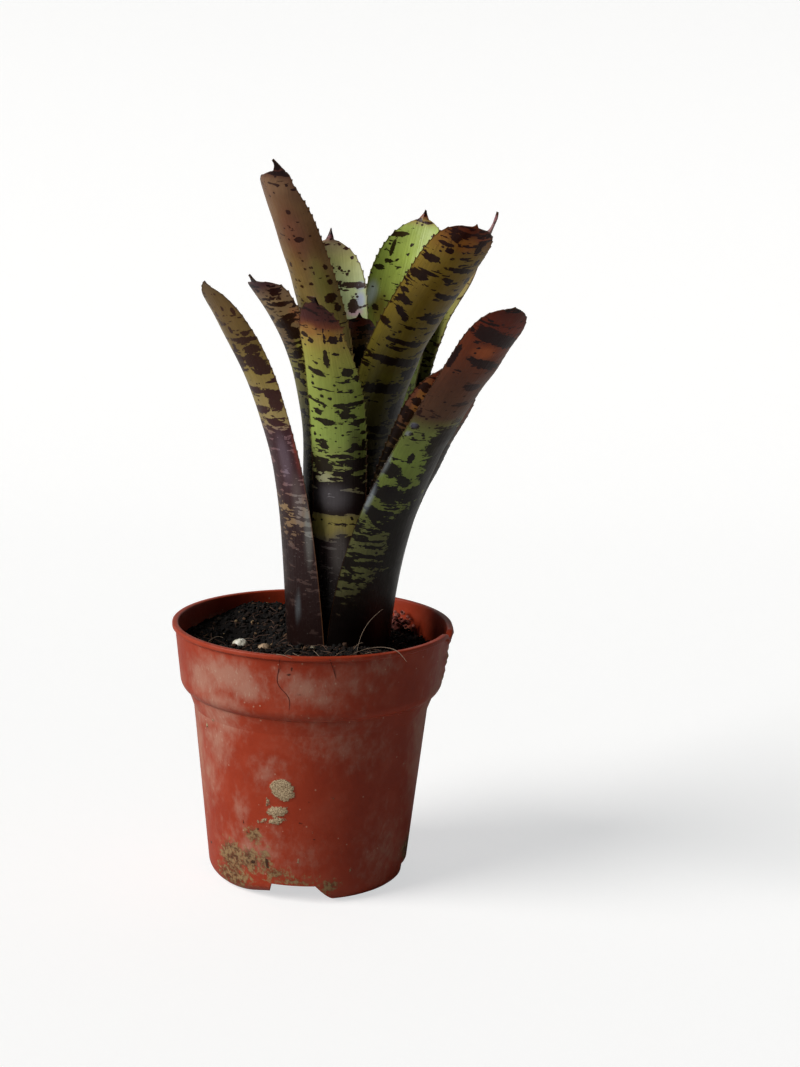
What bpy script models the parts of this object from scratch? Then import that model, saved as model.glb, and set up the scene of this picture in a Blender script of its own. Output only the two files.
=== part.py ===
"""A young neoregelia in a 12 cm plastic nursery pot, in metres, +Z up.

The origin is the middle of the pot's underside. -Y is the side the plant is seen from, and +X is on
the right of that view. Every leaf is a piece of its own: a sheath that wraps the short stem inside the
soil's hole, and a channelled blade with spines along its margins and a point at its end.
"""

import math
from collections import namedtuple

import bmesh
import bpy
import numpy as np
from mathutils import Euler, Vector, noise

MM = 0.001
GAP = 0.3 * MM

# Pot
RIM_RADIUS = 60.0 * MM
POT_HEIGHT = 112.0 * MM
LIP_HEIGHT = 1.9 * MM
LIP_STANDS_OUT = 1.3 * MM
WALL = 1.3 * MM
BAND_TAPER = 2.3 * MM
SHOULDER_TOP = 88.5 * MM
SHOULDER_IN = 5.9 * MM
SHOULDER_DEEP = 6.3 * MM
BODY_TOP_RADIUS = 51.1 * MM
BODY_FOOT_RADIUS = 43.4 * MM
FOOT_CORNER = 7.0 * MM
FLOOR = 1.6 * MM
POT_STEPS = 40
HALF_STEP = math.pi / POT_STEPS

# Channels under the foot: the steep side and the sloped side of each, seen from outside
CHANNEL_COUNT = 4
CHANNEL_TURN = math.radians(-93.5)
CHANNEL_DEEP = 8.1 * MM
CHANNEL_HALF = 13.9 * MM
CHANNEL_STEEP_SIDE = 1.2 * MM
CHANNEL_SLOPED_SIDE = 7.8 * MM
CHANNEL_INNER_END = 6.0 * MM
CHANNEL_OUTER_END = 52.0 * MM
DRAIN_RADIUS = 3.5 * MM
DRAIN_FROM_AXIS = 32.0 * MM

# Soil
SOIL_LEVEL = 104.0 * MM
SOIL_CRUMB = 1.1 * MM
SOIL_RINGS = 7

# Plant
PLANT_X = 12.0 * MM
PLANT_Y = -1.0 * MM
SHEATH_FOOT = 96.0 * MM
HOLE_RADIUS = 23.4 * MM
HOLE_FLOOR = 95.2 * MM
STEM_RADIUS = 10.8 * MM
STEM_TIP_RADIUS = 7.0 * MM
STEM_TOP = 115.0 * MM
LEAF_THICKNESS = 0.9 * MM
LEAF_COLUMNS = 6
SHEATH_ROWS = 5
SHEATH_SHARE = 0.34
SPINE_PITCH = 7.0 * MM
SPINE = 0.9 * MM
POINT_WIDTH = 0.8 * MM
POINT_ROOT_WIDTH = 3.0 * MM
TIP_ROWS = 5
RING_TO_BLADE = 90.0 * MM
WIDEST_FROM = 70.0 * MM
MIDRIB_STEPS = 200

# Lengths in millimetres and angles in degrees. faces: which way the leaf leans, from +X; ring: radius
# of its sheath; the lean from upright goes from low to high round bend_at, over bend_over of its
# length; sway turns the lean sideways and roll turns the blade on its own line; opens: how far up the
# sheath becomes a blade; trough: radius of the blade's hollow; taper: length of the rounded end.
Leaf = namedtuple(
    "Leaf",
    "name faces ring length low high bend_at bend_over sway roll sheath blade belly trough taper opens point",
)
LEAVES = (
    Leaf("leaf_left_outer", 205, 22.4, 171, 4, 32, 0.61, 0.75, 9, -12, 41.5, 26.5, 0, 20.5, 50.5, 116, 5),
    Leaf("leaf_right_front", 303, 20.9, 192, 1, 44, 0.32, 0.93, -4, 9, 38, 25.5, -0.06, 22, 27.5, 126, 5),
    Leaf("leaf_right_behind", 313, 19.4, 153, 3, 38, 0.42, 0.9, -20, 17, 37, 30, 0.08, 26, 30.5, 67, 5),
    Leaf("leaf_front", 262, 17.9, 169, 0, 31, 0.53, 0.53, -9, 2, 36, 23.5, 0.05, 20.5, 29.5, 75, 3),
    Leaf("leaf_left_behind", 205, 16.4, 172, 0, 38, 0.74, 0.53, 5, -15, 29.5, 24, 0.05, 19.5, 11, 61, 5),
    Leaf("leaf_right_back", 35, 17.9, 201, 6, 29, 0.48, 1.02, 4, 18, 32, 21, 0.05, 20, 29.5, 70, 5),
    Leaf("leaf_back_green", 60, 16.4, 199, 4, 26, 0.42, 1.02, 6, -3, 29, 37, 0.02, 19.5, 28.5, 80, 5),
    Leaf("leaf_back_pale", 107, 15.1, 184, -1, 25, 0.77, 0.77, 2, 4, 26.5, 29, 0.03, 17.5, 24, 72, 5),
    Leaf("leaf_right_inner", 315, 16.4, 210, 0, 42, 0.56, 0.53, -20, 20, 29.5, 27.5, 0.11, 18.5, 30, 69, 2),
    Leaf("leaf_tall_left", 229, 14.5, 224, -1, 35, 0.62, 0.54, 20, 5, 29.5, 25.5, 0.09, 16, 38, 60, 5),
    Leaf("leaf_centre", 292, 13.2, 150, -3, 4, 0.65, 0.87, 1, 2, 31, 23, 0.01, 14.5, 11.5, 68, 2),
)

# Loose bits on the soil: place of the middle on the plan, half sizes, and how much lies in the soil
Bit = namedtuple("Bit", "name x y half_x half_y half_z sunk seed")
BITS = (
    Bit("perlite_granule", -30.0, -31.0, 3.9, 3.2, 2.7, 0.35, 3),
    Bit("tan_pebble", -19.5, -36.0, 2.9, 2.4, 1.8, 0.35, 7),
    Bit("grey_granule", 0.3, -37.0, 1.6, 1.3, 1.2, 0.35, 11),
    Bit("bark_clump", 37.0, 31.5, 4.9, 4.2, 4.0, 0.4, 19),
)

COLOURS = {
    "pot": ((0.27, 0.075, 0.035, 1.0), 0.45),
    "soil": ((0.020, 0.013, 0.009, 1.0), 0.95),
    "stem": ((0.10, 0.12, 0.05, 1.0), 0.6),
    "leaf": ((0.16, 0.19, 0.03, 1.0), 0.35),
    "perlite": ((0.62, 0.60, 0.52, 1.0), 0.9),
    "pebble": ((0.33, 0.25, 0.15, 1.0), 0.8),
    "bark": ((0.16, 0.055, 0.035, 1.0), 0.9),
}


def clear_scene():
    for obj in list(bpy.data.objects):
        bpy.data.objects.remove(obj, do_unlink=True)


def new_collection(name):
    collection = bpy.data.collections.new(name)
    bpy.context.scene.collection.children.link(collection)
    return collection


def material(name, finish):
    """A Principled material with the named finish's colour and roughness."""
    colour, roughness = COLOURS[finish]
    mat = bpy.data.materials.new(name)
    mat.use_nodes = True
    shader = mat.node_tree.nodes["Principled BSDF"]
    shader.inputs["Base Color"].default_value = colour
    shader.inputs["Roughness"].default_value = roughness
    mat.diffuse_color = colour
    return mat


def add_object(name, mesh, collection, finish=None):
    obj = bpy.data.objects.new(name, mesh)
    collection.objects.link(obj)
    if finish:
        mesh.materials.append(material(name, finish))
    return obj


def as_cutter(obj):
    obj.hide_render = True
    obj.display_type = "WIRE"
    return obj


def smooth_step(x):
    x = np.clip(x, 0.0, 1.0)
    return x * x * (3.0 - 2.0 * x)


def turned(name, profile, collection, finish=None, phase=0.0):
    """A solid of revolution: profile runs down its outer side as (radius, height) points, from phase."""
    mesh = bpy.data.meshes.new(name)
    points = [(radius * math.cos(phase), radius * math.sin(phase), height) for radius, height in profile]
    mesh.from_pydata(points, [(i, i + 1) for i in range(len(points) - 1)], [])
    obj = add_object(name, mesh, collection, finish)
    screw = obj.modifiers.new("Turn", "SCREW")
    screw.steps = POT_STEPS
    screw.render_steps = POT_STEPS
    screw.use_merge_vertices = True
    screw.merge_threshold = 0.00005
    screw.use_smooth_shade = True
    return obj


def boolean(obj, other, operation="DIFFERENCE"):
    modifier = obj.modifiers.new(operation.title() + " " + other.name, "BOOLEAN")
    modifier.operation = operation
    modifier.object = other


def applied(obj):
    """The same object with its modifiers turned into its mesh."""
    graph = bpy.context.evaluated_depsgraph_get()
    mesh = bpy.data.meshes.new_from_object(obj.evaluated_get(graph))
    obj.modifiers.clear()
    obj.data = mesh
    return obj


def quarter(radius_from, radius_to, height_from, height_to, points, bulge_out):
    """Points of a quarter ellipse between two corners, rounding outwards or dishing inwards."""
    line = []
    for i in range(points + 1):
        turn = math.pi / 2 * i / points
        if bulge_out:
            across, down = 1.0 - math.cos(turn), math.sin(turn)
        else:
            across, down = math.sin(turn), 1.0 - math.cos(turn)
        line.append(
            (
                radius_from + (radius_to - radius_from) * across,
                height_from + (height_to - height_from) * down,
            )
        )
    return line


def outer_profile():
    """The pot's outside from the rim's top down to the middle of the foot."""
    band_top = RIM_RADIUS - LIP_STANDS_OUT
    band_low = band_top - BAND_TAPER
    round_off = 0.4 * MM
    lip_foot = POT_HEIGHT - LIP_HEIGHT
    junction = SHOULDER_TOP - SHOULDER_DEEP
    foot_edge = BODY_FOOT_RADIUS - FOOT_CORNER
    line = [
        (RIM_RADIUS - round_off, POT_HEIGHT),
        (RIM_RADIUS, POT_HEIGHT - round_off),
        (RIM_RADIUS, lip_foot + round_off),
        (RIM_RADIUS - round_off, lip_foot),
        (band_top, lip_foot - round_off),
    ]
    line += quarter(band_low, band_low - SHOULDER_IN, SHOULDER_TOP, junction, 4, True)
    line += [(BODY_TOP_RADIUS, junction - 0.7 * MM)]
    line += quarter(BODY_FOOT_RADIUS, foot_edge, FOOT_CORNER, 0.0, 4, True)
    line += [(0.0, 0.0)]
    return line


def inner_radius(height):
    """The band's inside at a height."""
    per_height = BAND_TAPER / (POT_HEIGHT - SHOULDER_TOP)
    return RIM_RADIUS - LIP_STANDS_OUT - WALL - (POT_HEIGHT - height) * per_height


def inner_profile(clearance, top):
    """The inside of the pot, moved in by clearance, from a flat top at height top down to the floor."""
    away = WALL + clearance
    band_low = RIM_RADIUS - LIP_STANDS_OUT - away - BAND_TAPER
    junction = SHOULDER_TOP - SHOULDER_DEEP + 0.6 * MM + clearance
    floor = FLOOR + clearance
    corner = FOOT_CORNER - WALL
    line = [(inner_radius(top) - clearance, top)]
    line += quarter(band_low, BODY_TOP_RADIUS - away - 0.5 * MM, SHOULDER_TOP, junction, 3, True)
    line += quarter(BODY_FOOT_RADIUS - away, BODY_FOOT_RADIUS - away - corner, floor + corner, floor, 3, True)
    line += [(0.0, floor)]
    return line


def channel(name, index, grow, collection):
    """A block under the foot, with one steep and one sloped side, larger by grow all round."""
    mesh = bpy.data.meshes.new(name)
    bm = bmesh.new()
    bmesh.ops.create_cube(bm, size=1.0)
    inner = CHANNEL_INNER_END - grow
    below = 4.0 * MM
    for vert in bm.verts:
        along = inner if vert.co.x < 0 else CHANNEL_OUTER_END
        high = vert.co.z > 0
        side = 1 if vert.co.y > 0 else -1
        slope = CHANNEL_SLOPED_SIDE if side > 0 else CHANNEL_STEEP_SIDE
        reach = CHANNEL_HALF + grow
        if high:
            reach -= slope
        else:
            reach += slope * below / CHANNEL_DEEP
        vert.co = Vector((along, side * reach, CHANNEL_DEEP + grow if high else -below))
    bm.to_mesh(mesh)
    bm.free()
    obj = as_cutter(add_object(name, mesh, collection))
    obj.rotation_euler = (0.0, 0.0, CHANNEL_TURN + index * 2 * math.pi / CHANNEL_COUNT)
    return obj


def drain_hole(name, index, collection):
    mesh = bpy.data.meshes.new(name)
    bm = bmesh.new()
    bmesh.ops.create_cone(
        bm, cap_ends=True, segments=16, radius1=DRAIN_RADIUS, radius2=DRAIN_RADIUS, depth=30 * MM
    )
    bm.to_mesh(mesh)
    bm.free()
    turn = CHANNEL_TURN + index * 2 * math.pi / CHANNEL_COUNT
    obj = as_cutter(add_object(name, mesh, collection))
    obj.location = (DRAIN_FROM_AXIS * math.cos(turn), DRAIN_FROM_AXIS * math.sin(turn), 0.0)
    return obj


def make_pot(parts, cutters):
    """The moulded shell: the outside turned, the inside cut away, and the foot's channels and holes."""
    pot = turned("pot", [(0.0, POT_HEIGHT)] + outer_profile(), parts, "pot")
    above = POT_HEIGHT + 3 * MM
    inside = [(0.0, above)] + inner_profile(0.0, above)
    cavity = as_cutter(turned("cavity", inside, cutters, phase=HALF_STEP))
    for index in range(CHANNEL_COUNT):
        boolean(cavity, channel(f"channel_roof_{index}", index, WALL, cutters))
    boolean(pot, cavity)
    for index in range(CHANNEL_COUNT):
        boolean(pot, channel(f"channel_{index}", index, 0.0, cutters))
        boolean(pot, drain_hole(f"drain_{index}", index, cutters))
    return pot


def soil_height(x, y):
    """Top of the soil: banked at the front, hollow at the left, falling away to the right."""
    mx, my = x / MM, y / MM
    front = 5.0 * smooth_step((-my - 14.0) / 22.0) * smooth_step((52.0 - mx) / 40.0)
    hollow = -7.0 * math.exp(-(((mx + 31.0) / 15.0) ** 2) - ((my - 6.0) / 19.0) ** 2)
    back_left = 3.5 * math.exp(-(((mx + 24.0) / 20.0) ** 2) - ((my - 46.0) / 10.0) ** 2)
    right = -6.0 * smooth_step((mx - 24.0) / 24.0) * smooth_step((my + 40.0) / 30.0)
    spot = Vector((mx / 5.0, my / 5.0, 0.0))
    crumbs = noise.noise(spot) + 0.6 * noise.noise(spot * 2.3)
    return SOIL_LEVEL + (front + hollow + back_left + right) * MM + crumbs * SOIL_CRUMB


def make_soil(parts, cutters):
    """The potting mix: the pot's inside less a gap, with a crumbly top and a plain hole for the plant."""
    top = SOIL_LEVEL
    side = inner_profile(GAP, top)
    edge = side[0][0]
    rings = [(edge * i / SOIL_RINGS, top) for i in range(SOIL_RINGS)]
    soil = applied(turned("soil", rings + side, parts, "soil", phase=HALF_STEP))
    for vert in soil.data.vertices:
        if vert.co.z < top - 0.01 * MM:
            continue
        radius = math.hypot(vert.co.x, vert.co.y)
        vert.co.z = soil_height(vert.co.x, vert.co.y)
        if radius > edge - 0.01 * MM:
            fitted = (inner_radius(vert.co.z) - GAP) / radius
            vert.co.x *= fitted
            vert.co.y *= fitted
    for index in range(CHANNEL_COUNT):
        boolean(soil, channel(f"channel_space_{index}", index, WALL + GAP, cutters))
    boolean(soil, plant_hole(cutters))
    return soil


def plant_hole(collection):
    mesh = bpy.data.meshes.new("plant_hole")
    bm = bmesh.new()
    depth = 40 * MM
    bmesh.ops.create_cone(
        bm, cap_ends=True, segments=POT_STEPS, radius1=HOLE_RADIUS, radius2=HOLE_RADIUS, depth=depth
    )
    bm.to_mesh(mesh)
    bm.free()
    hole = as_cutter(add_object("plant_hole", mesh, collection))
    hole.location = (PLANT_X, PLANT_Y, HOLE_FLOOR + depth / 2)
    return hole


def make_stem(parts):
    """The short stock inside the sheaths, with a domed growing point."""
    foot = HOLE_FLOOR + GAP
    shoulder = STEM_TOP - 3 * MM
    line = quarter(0.0, STEM_TIP_RADIUS, STEM_TOP, shoulder, 4, False)
    line += [(STEM_RADIUS, foot), (0.0, foot)]
    stem = turned("stem", line, parts, "stem")
    for modifier in stem.modifiers:
        modifier.steps = 24
        modifier.render_steps = 24
    stem.location = (PLANT_X, PLANT_Y, 0.0)
    return stem


def leaf_rows(leaf):
    """Distances up the leaf, in metres: wide apart in the sheath, one for each spine, close at the end."""
    length, taper, point = leaf.length * MM, leaf.taper * MM, leaf.point * MM
    blade_from = SHEATH_SHARE * length
    blade_to = length - taper - point
    rows = [blade_from * i / SHEATH_ROWS for i in range(SHEATH_ROWS)]
    count = max(2, round((blade_to - blade_from) / SPINE_PITCH))
    rows += [blade_from + (blade_to - blade_from) * i / count for i in range(count)]
    rows += [blade_to + taper * math.sin(math.pi / 2 * i / TIP_ROWS) for i in range(TIP_ROWS)]
    return rows + [length - point, length - 0.45 * point, length]


def leaf_width(leaf, dist):
    """Width across the leaf, along its curved section, at a distance up it."""
    length, taper, point = leaf.length * MM, leaf.taper * MM, leaf.point * MM
    width = leaf.sheath + (leaf.blade - leaf.sheath) * smooth_step(dist / (leaf.opens * MM))
    swell = np.clip((dist - WIDEST_FROM) / (length - WIDEST_FROM), 0.0, 1.0)
    width = width * MM * (1.0 + leaf.belly * np.sin(math.pi * swell))
    left = length - dist
    rounded = 1.0 - np.clip((left - point) / taper, 0.0, 1.0)
    width = np.maximum(width * np.sqrt(1.0 - rounded**2), POINT_ROOT_WIDTH)
    spike = POINT_WIDTH + (POINT_ROOT_WIDTH - POINT_WIDTH) * np.clip(left / point, 0.0, 1.0)
    return np.where(left < point, spike, width)


def midrib(leaf):
    """Places along the leaf's middle line, with the directions across it and out of its back."""
    share = np.linspace(0.0, 1.0, MIDRIB_STEPS + 1)
    bend = smooth_step((share - leaf.bend_at + leaf.bend_over / 2) / leaf.bend_over)
    lean = np.radians(leaf.low + (leaf.high - leaf.low) * bend)
    heading = np.radians(leaf.faces + leaf.sway * share**2)
    flat = np.sin(lean)
    ahead = np.stack([flat * np.cos(heading), flat * np.sin(heading), np.cos(lean)], 1)
    turn = math.radians(leaf.faces)
    foot = (
        PLANT_X + leaf.ring * MM * math.cos(turn),
        PLANT_Y + leaf.ring * MM * math.sin(turn),
        SHEATH_FOOT,
    )
    steps = (ahead[1:] + ahead[:-1]) / 2 * leaf.length * MM / MIDRIB_STEPS
    line = np.vstack([np.zeros(3), np.cumsum(steps, 0)]) + foot
    across = np.stack([-np.sin(heading), np.cos(heading), 0 * heading], 1)
    out = np.cross(across, ahead)
    roll = np.radians(leaf.roll * share**1.5)[:, None]
    across, out = (
        across * np.cos(roll) + out * np.sin(roll),
        out * np.cos(roll) - across * np.sin(roll),
    )
    return share, line, across, out


def leaf_place(leaf, frame, dist, side, spine):
    """The point at a distance up the leaf and a share of the half width to one side, plus a spine."""
    share, line, across, out = frame
    at = dist / (leaf.length * MM)
    middle, sideways, back = (
        np.array([np.interp(at, share, values[:, k]) for k in range(3)]) for values in (line, across, out)
    )
    hollow = leaf.ring + (leaf.trough - leaf.ring) * smooth_step(dist / RING_TO_BLADE)
    hollow = hollow * MM
    turn = (side * float(leaf_width(leaf, dist)) / 2 + spine) / hollow
    return middle + sideways * hollow * math.sin(turn) - back * hollow * (1.0 - math.cos(turn))


def make_leaf(leaf, parts):
    """A grid laid over the leaf's surface, its margins cut into spines, then given thickness inwards."""
    rows = leaf_rows(leaf)
    frame = midrib(leaf)
    spines_from = SHEATH_SHARE * leaf.length * MM - 0.1 * MM
    spines_to = leaf.length * MM - leaf.point * MM + 0.1 * MM
    bm = bmesh.new()
    bmesh.ops.create_grid(bm, x_segments=LEAF_COLUMNS, y_segments=len(rows) - 1, size=1.0)
    row_of = {vert: round((vert.co.y + 1.0) / 2 * (len(rows) - 1)) for vert in bm.verts}
    place = {vert: (rows[row_of[vert]], vert.co.x, 0.0) for vert in bm.verts}
    margin = []
    for edge in bm.edges:
        low, high = sorted(edge.verts, key=lambda vert: row_of[vert])
        on_margin = abs(low.co.x) > 0.99 and abs(high.co.x) > 0.99
        if on_margin and place[low][0] > spines_from and place[high][0] < spines_to:
            margin.append((edge, low, high))
    for edge, low, high in margin:
        side = low.co.x
        reach = SPINE * smooth_step((place[low][0] - spines_from) / (20 * MM))
        dist = 0.35 * place[low][0] + 0.65 * place[high][0]
        split = bmesh.utils.edge_split(edge, low, 0.5)[1]
        place[split] = (dist, side, side * float(0.3 * SPINE + reach))
    for vert, (dist, side, spine) in place.items():
        vert.co = Vector(leaf_place(leaf, frame, dist, side, spine))
    bmesh.ops.triangulate(bm, faces=bm.faces[:])
    mesh = bpy.data.meshes.new(leaf.name)
    bm.to_mesh(mesh)
    bm.free()
    mesh.shade_smooth()
    obj = add_object(leaf.name, mesh, parts, "leaf")
    solidify = obj.modifiers.new("Thickness", "SOLIDIFY")
    solidify.thickness = LEAF_THICKNESS
    solidify.offset = -1.0
    return obj


def make_bit(bit, parts, soil, cutters):
    """A loose rounded bit, seated in a pocket of the soil that is larger by the gap."""
    ground = soil_height(bit.x * MM, bit.y * MM)
    middle = Vector((bit.x * MM, bit.y * MM, ground + bit.half_z * MM * (1 - 2 * bit.sunk)))
    for grow, collection, name in ((0.0, parts, bit.name), (2 * GAP, cutters, bit.name + "_pocket")):
        mesh = bpy.data.meshes.new(name)
        bm = bmesh.new()
        bmesh.ops.create_icosphere(bm, subdivisions=2, radius=1.0)
        for vert in bm.verts:
            lump = 1.0 + 0.22 * noise.noise(vert.co * 1.4 + Vector((bit.seed, 0.0, 0.0)))
            half = (bit.half_x, bit.half_y, bit.half_z)
            vert.co = Vector([vert.co[k] * (half[k] * MM * lump + grow) for k in range(3)])
        bm.to_mesh(mesh)
        bm.free()
        finish = {"p": "perlite", "t": "pebble", "g": "pebble", "b": "bark"}[bit.name[0]]
        obj = add_object(name, mesh, collection, finish if collection is parts else None)
        obj.location = middle
        obj.rotation_euler = Euler((0.2, 0.1, 0.1 * bit.seed))
        if collection is cutters:
            boolean(soil, as_cutter(obj))


def main():
    clear_scene()
    parts = new_collection("potted_neoregelia")
    cutters = new_collection("cutters")
    make_pot(parts, cutters)
    soil = make_soil(parts, cutters)
    make_stem(parts)
    for leaf in LEAVES:
        make_leaf(leaf, parts)
    for bit in BITS:
        make_bit(bit, parts, soil, cutters)


main()
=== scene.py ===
# %% [markdown]
# A young neoregelia in its nursery pot, dressed for its portrait.
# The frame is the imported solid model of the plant: its pieces are right in size and place, but plain.
# Here each one gets the surface that the real one has. Lengths below are in millimetres, as a gardener
# would measure them, and become metres through MM.

import math
import random
from collections import namedtuple

import bpy
import numpy as np
from mathutils import Matrix, Vector, noise


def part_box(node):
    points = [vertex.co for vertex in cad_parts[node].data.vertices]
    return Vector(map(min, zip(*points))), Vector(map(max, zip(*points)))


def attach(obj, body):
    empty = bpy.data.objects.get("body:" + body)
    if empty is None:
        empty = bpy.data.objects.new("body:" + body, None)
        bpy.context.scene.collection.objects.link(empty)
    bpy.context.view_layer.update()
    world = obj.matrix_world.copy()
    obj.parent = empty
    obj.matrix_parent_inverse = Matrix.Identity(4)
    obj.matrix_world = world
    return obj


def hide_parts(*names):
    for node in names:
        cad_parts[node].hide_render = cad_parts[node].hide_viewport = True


MM = 0.001
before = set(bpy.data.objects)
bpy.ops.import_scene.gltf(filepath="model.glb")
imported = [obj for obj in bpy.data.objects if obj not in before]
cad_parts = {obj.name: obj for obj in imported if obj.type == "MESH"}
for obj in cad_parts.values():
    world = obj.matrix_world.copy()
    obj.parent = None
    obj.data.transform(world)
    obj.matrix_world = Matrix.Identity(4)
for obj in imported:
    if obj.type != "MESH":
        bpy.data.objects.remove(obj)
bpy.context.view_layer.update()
scene = bpy.context.scene

# %% [markdown]
# Colours are noted as a screen shows them, because that is how a photograph is judged by eye.
# Blender's shaders work in linear light, so each note goes through this conversion once.


# %% Colour notes
def tone(code, gain=1.0):
    """Linear colour of a six-digit screen colour, brightened by gain."""
    parts = [int(code[i : i + 2], 16) / 255 for i in (0, 2, 4)]
    linear = [p / 12.92 if p <= 0.04045 else ((p + 0.055) / 1.055) ** 2.4 for p in parts]
    return tuple(min(p * gain, 0.95) for p in linear) + (1.0,)


def smooth_step(x):
    x = np.clip(x, 0.0, 1.0)
    return x * x * (3.0 - 2.0 * x)


print("a middling leaf green is", [round(c, 3) for c in tone("7d8042")])

# %% [markdown]
# Shader graphs are easier to read when a node and its inputs are made in one line.
# `place` adds a node and wires or sets its inputs, and `maths` does the same for one sum.


# %% Helpers for shader graphs
def place(tree, kind, inputs=None, **settings):
    node = tree.nodes.new("ShaderNode" + kind)
    for name, value in settings.items():
        setattr(node, name, value)
    for name, value in (inputs or {}).items():
        socket = node.inputs[name]
        if isinstance(value, bpy.types.NodeSocket):
            tree.links.new(value, socket)
        else:
            socket.default_value = value
    return node


def maths(tree, operation, *values, clamp=False):
    node = place(tree, "Math", operation=operation, use_clamp=clamp)
    for socket, value in zip(node.inputs, values):
        if isinstance(value, bpy.types.NodeSocket):
            tree.links.new(value, socket)
        else:
            socket.default_value = value
    return node.outputs[0]


def step_mask(tree, value, low, high):
    """0 below low, 1 above high, and a soft edge between them."""
    node = place(
        tree,
        "MapRange",
        {"Value": value, "From Min": low, "From Max": high, "To Min": 0.0, "To Max": 1.0},
        interpolation_type="SMOOTHSTEP",
    )
    return node.outputs["Result"]


def blend(tree, share, first, second, mode="MIX"):
    node = place(tree, "Mix", data_type="RGBA", blend_type=mode, clamp_factor=True)
    for name, value in (("Factor_Float", share), ("A_Color", first), ("B_Color", second)):
        socket = next(s for s in node.inputs if s.identifier == name)
        if isinstance(value, bpy.types.NodeSocket):
            tree.links.new(value, socket)
        else:
            socket.default_value = value
    return next(s for s in node.outputs if s.identifier == "Result_Color")


def stretched(tree, vector, x, y, z=1.0):
    node = place(tree, "VectorMath", {0: vector, 1: (x, y, z)}, operation="MULTIPLY")
    return node.outputs[0]


def grain(tree, vector, scale, detail=3.0, rough=0.55):
    node = place(
        tree,
        "TexNoise",
        {"Vector": vector, "Scale": scale, "Detail": detail, "Roughness": rough},
        noise_dimensions="3D",
    )
    return node.outputs["Fac"]


def random_part(tree, cells):
    """A random number for each cell of a Voronoi node."""
    return place(tree, "SeparateColor", {0: cells.outputs["Color"]}).outputs[0]


def new_group(name, inputs, outputs):
    """An empty node group with named sockets, its input node and its output node."""
    group = bpy.data.node_groups.new(name, "ShaderNodeTree")
    for label, kind in inputs.items():
        group.interface.new_socket(label, in_out="INPUT", socket_type="NodeSocket" + kind)
    for label, kind in outputs.items():
        group.interface.new_socket(label, in_out="OUTPUT", socket_type="NodeSocket" + kind)
    return group, group.nodes.new("NodeGroupInput"), group.nodes.new("NodeGroupOutput")


def new_material(name):
    """A material with its Principled shader, and its node tree."""
    material = bpy.data.materials.new(name)
    material.use_nodes = True
    return material, material.node_tree, material.node_tree.nodes["Principled BSDF"]


print("helpers ready")

# %% [markdown]
# Old plastic is never quite smooth. One group makes a height from noise at two sizes, coarse and fine,
# and takes how much of each is wanted.


# %% Relief group
relief_group, enter, leave = new_group(
    "fine_relief",
    {"Place": "Vector", "Coarse": "Float", "Fine": "Float"},
    {"Height": "Float"},
)
coarse_grain = grain(relief_group, enter.outputs["Place"], 0.35, 4.0)
fine_grain = grain(relief_group, enter.outputs["Place"], 2.2, 3.0)
coarse_part = maths(relief_group, "MULTIPLY", coarse_grain, enter.outputs["Coarse"])
fine_part = maths(relief_group, "MULTIPLY", fine_grain, enter.outputs["Fine"])
relief_sum = maths(relief_group, "ADD", coarse_part, fine_part)
relief_group.links.new(relief_sum, leave.inputs["Height"])


def relief(tree, where, coarse, fine):
    node = place(tree, "Group", node_tree=relief_group)
    tree.links.new(where, node.inputs["Place"])
    node.inputs["Coarse"].default_value = coarse
    node.inputs["Fine"].default_value = fine
    return node.outputs["Height"]


def bumped(tree, shader, height, distance):
    bump = place(tree, "Bump", {"Height": height, "Distance": distance, "Strength": 1.0})
    tree.links.new(bump.outputs["Normal"], shader.inputs["Normal"])


print("relief group:", len(relief_group.nodes), "nodes")

# %% [markdown]
# Meshes that are worked out from formulas arrive as grids of points. `grid_faces` joins the points of
# one grid, `edge_faces` closes the rim between an outer and an inner one, and `store` writes a value for
# each point on the mesh, where a material can read it. Such values keep marks in place from every side.


# %% Helpers for meshes
def store(mesh, name, values, kind="FLOAT"):
    attribute = mesh.attributes.new(name, kind, "POINT")
    field = {"FLOAT": "value", "FLOAT_VECTOR": "vector", "FLOAT_COLOR": "color"}[kind]
    attribute.data.foreach_set(field, np.ascontiguousarray(values, np.float32).ravel())


def read(tree, name, output="Fac"):
    return place(tree, "Attribute", attribute_name=name).outputs[output]


def new_mesh(name, points, faces, material):
    mesh = bpy.data.meshes.new(name)
    mesh.from_pydata(np.asarray(points).reshape(-1, 3).tolist(), [], faces)
    mesh.shade_smooth()
    mesh.materials.append(material)
    obj = bpy.data.objects.new(name, mesh)
    scene.collection.objects.link(obj)
    return obj


def grid_faces(rows, columns, start=0, flip=False, wrap=False):
    """Quads between neighbouring rows and columns of a grid of points."""
    reach = columns if wrap else columns - 1
    faces = []
    for row in range(rows - 1):
        for column in range(reach):
            beside = (column + 1) % columns
            a = start + row * columns + column
            b = start + row * columns + beside
            c = start + (row + 1) * columns + beside
            d = start + (row + 1) * columns + column
            faces.append((d, c, b, a) if flip else (a, b, c, d))
    return faces


def edge_faces(rows, columns):
    """Quads that close the rim between an outer grid and the inner grid stored after it."""
    outer = list(range(columns))
    outer += [r * columns + columns - 1 for r in range(1, rows)]
    outer += [(rows - 1) * columns + c for c in range(columns - 2, -1, -1)]
    outer += [r * columns for r in range(rows - 2, 0, -1)]
    inner = [index + rows * columns for index in outer]
    count = len(outer)
    return [
        (outer[i], inner[i], inner[(i + 1) % count], outer[(i + 1) % count]) for i in range(count)
    ]


print("mesh helpers ready")

# %% [markdown]
# The leaves come first. Each grows from a curved sheath round the stem and opens into a trough-shaped
# blade with a rounded end and a sharp point. Its middle line leans away from upright along the way.
# The numbers say for each leaf which way it faces, how it bends and how wide it is. A loft like this
# follows the solid leaf of the frame closely, and can be as fine as its spines need.

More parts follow.
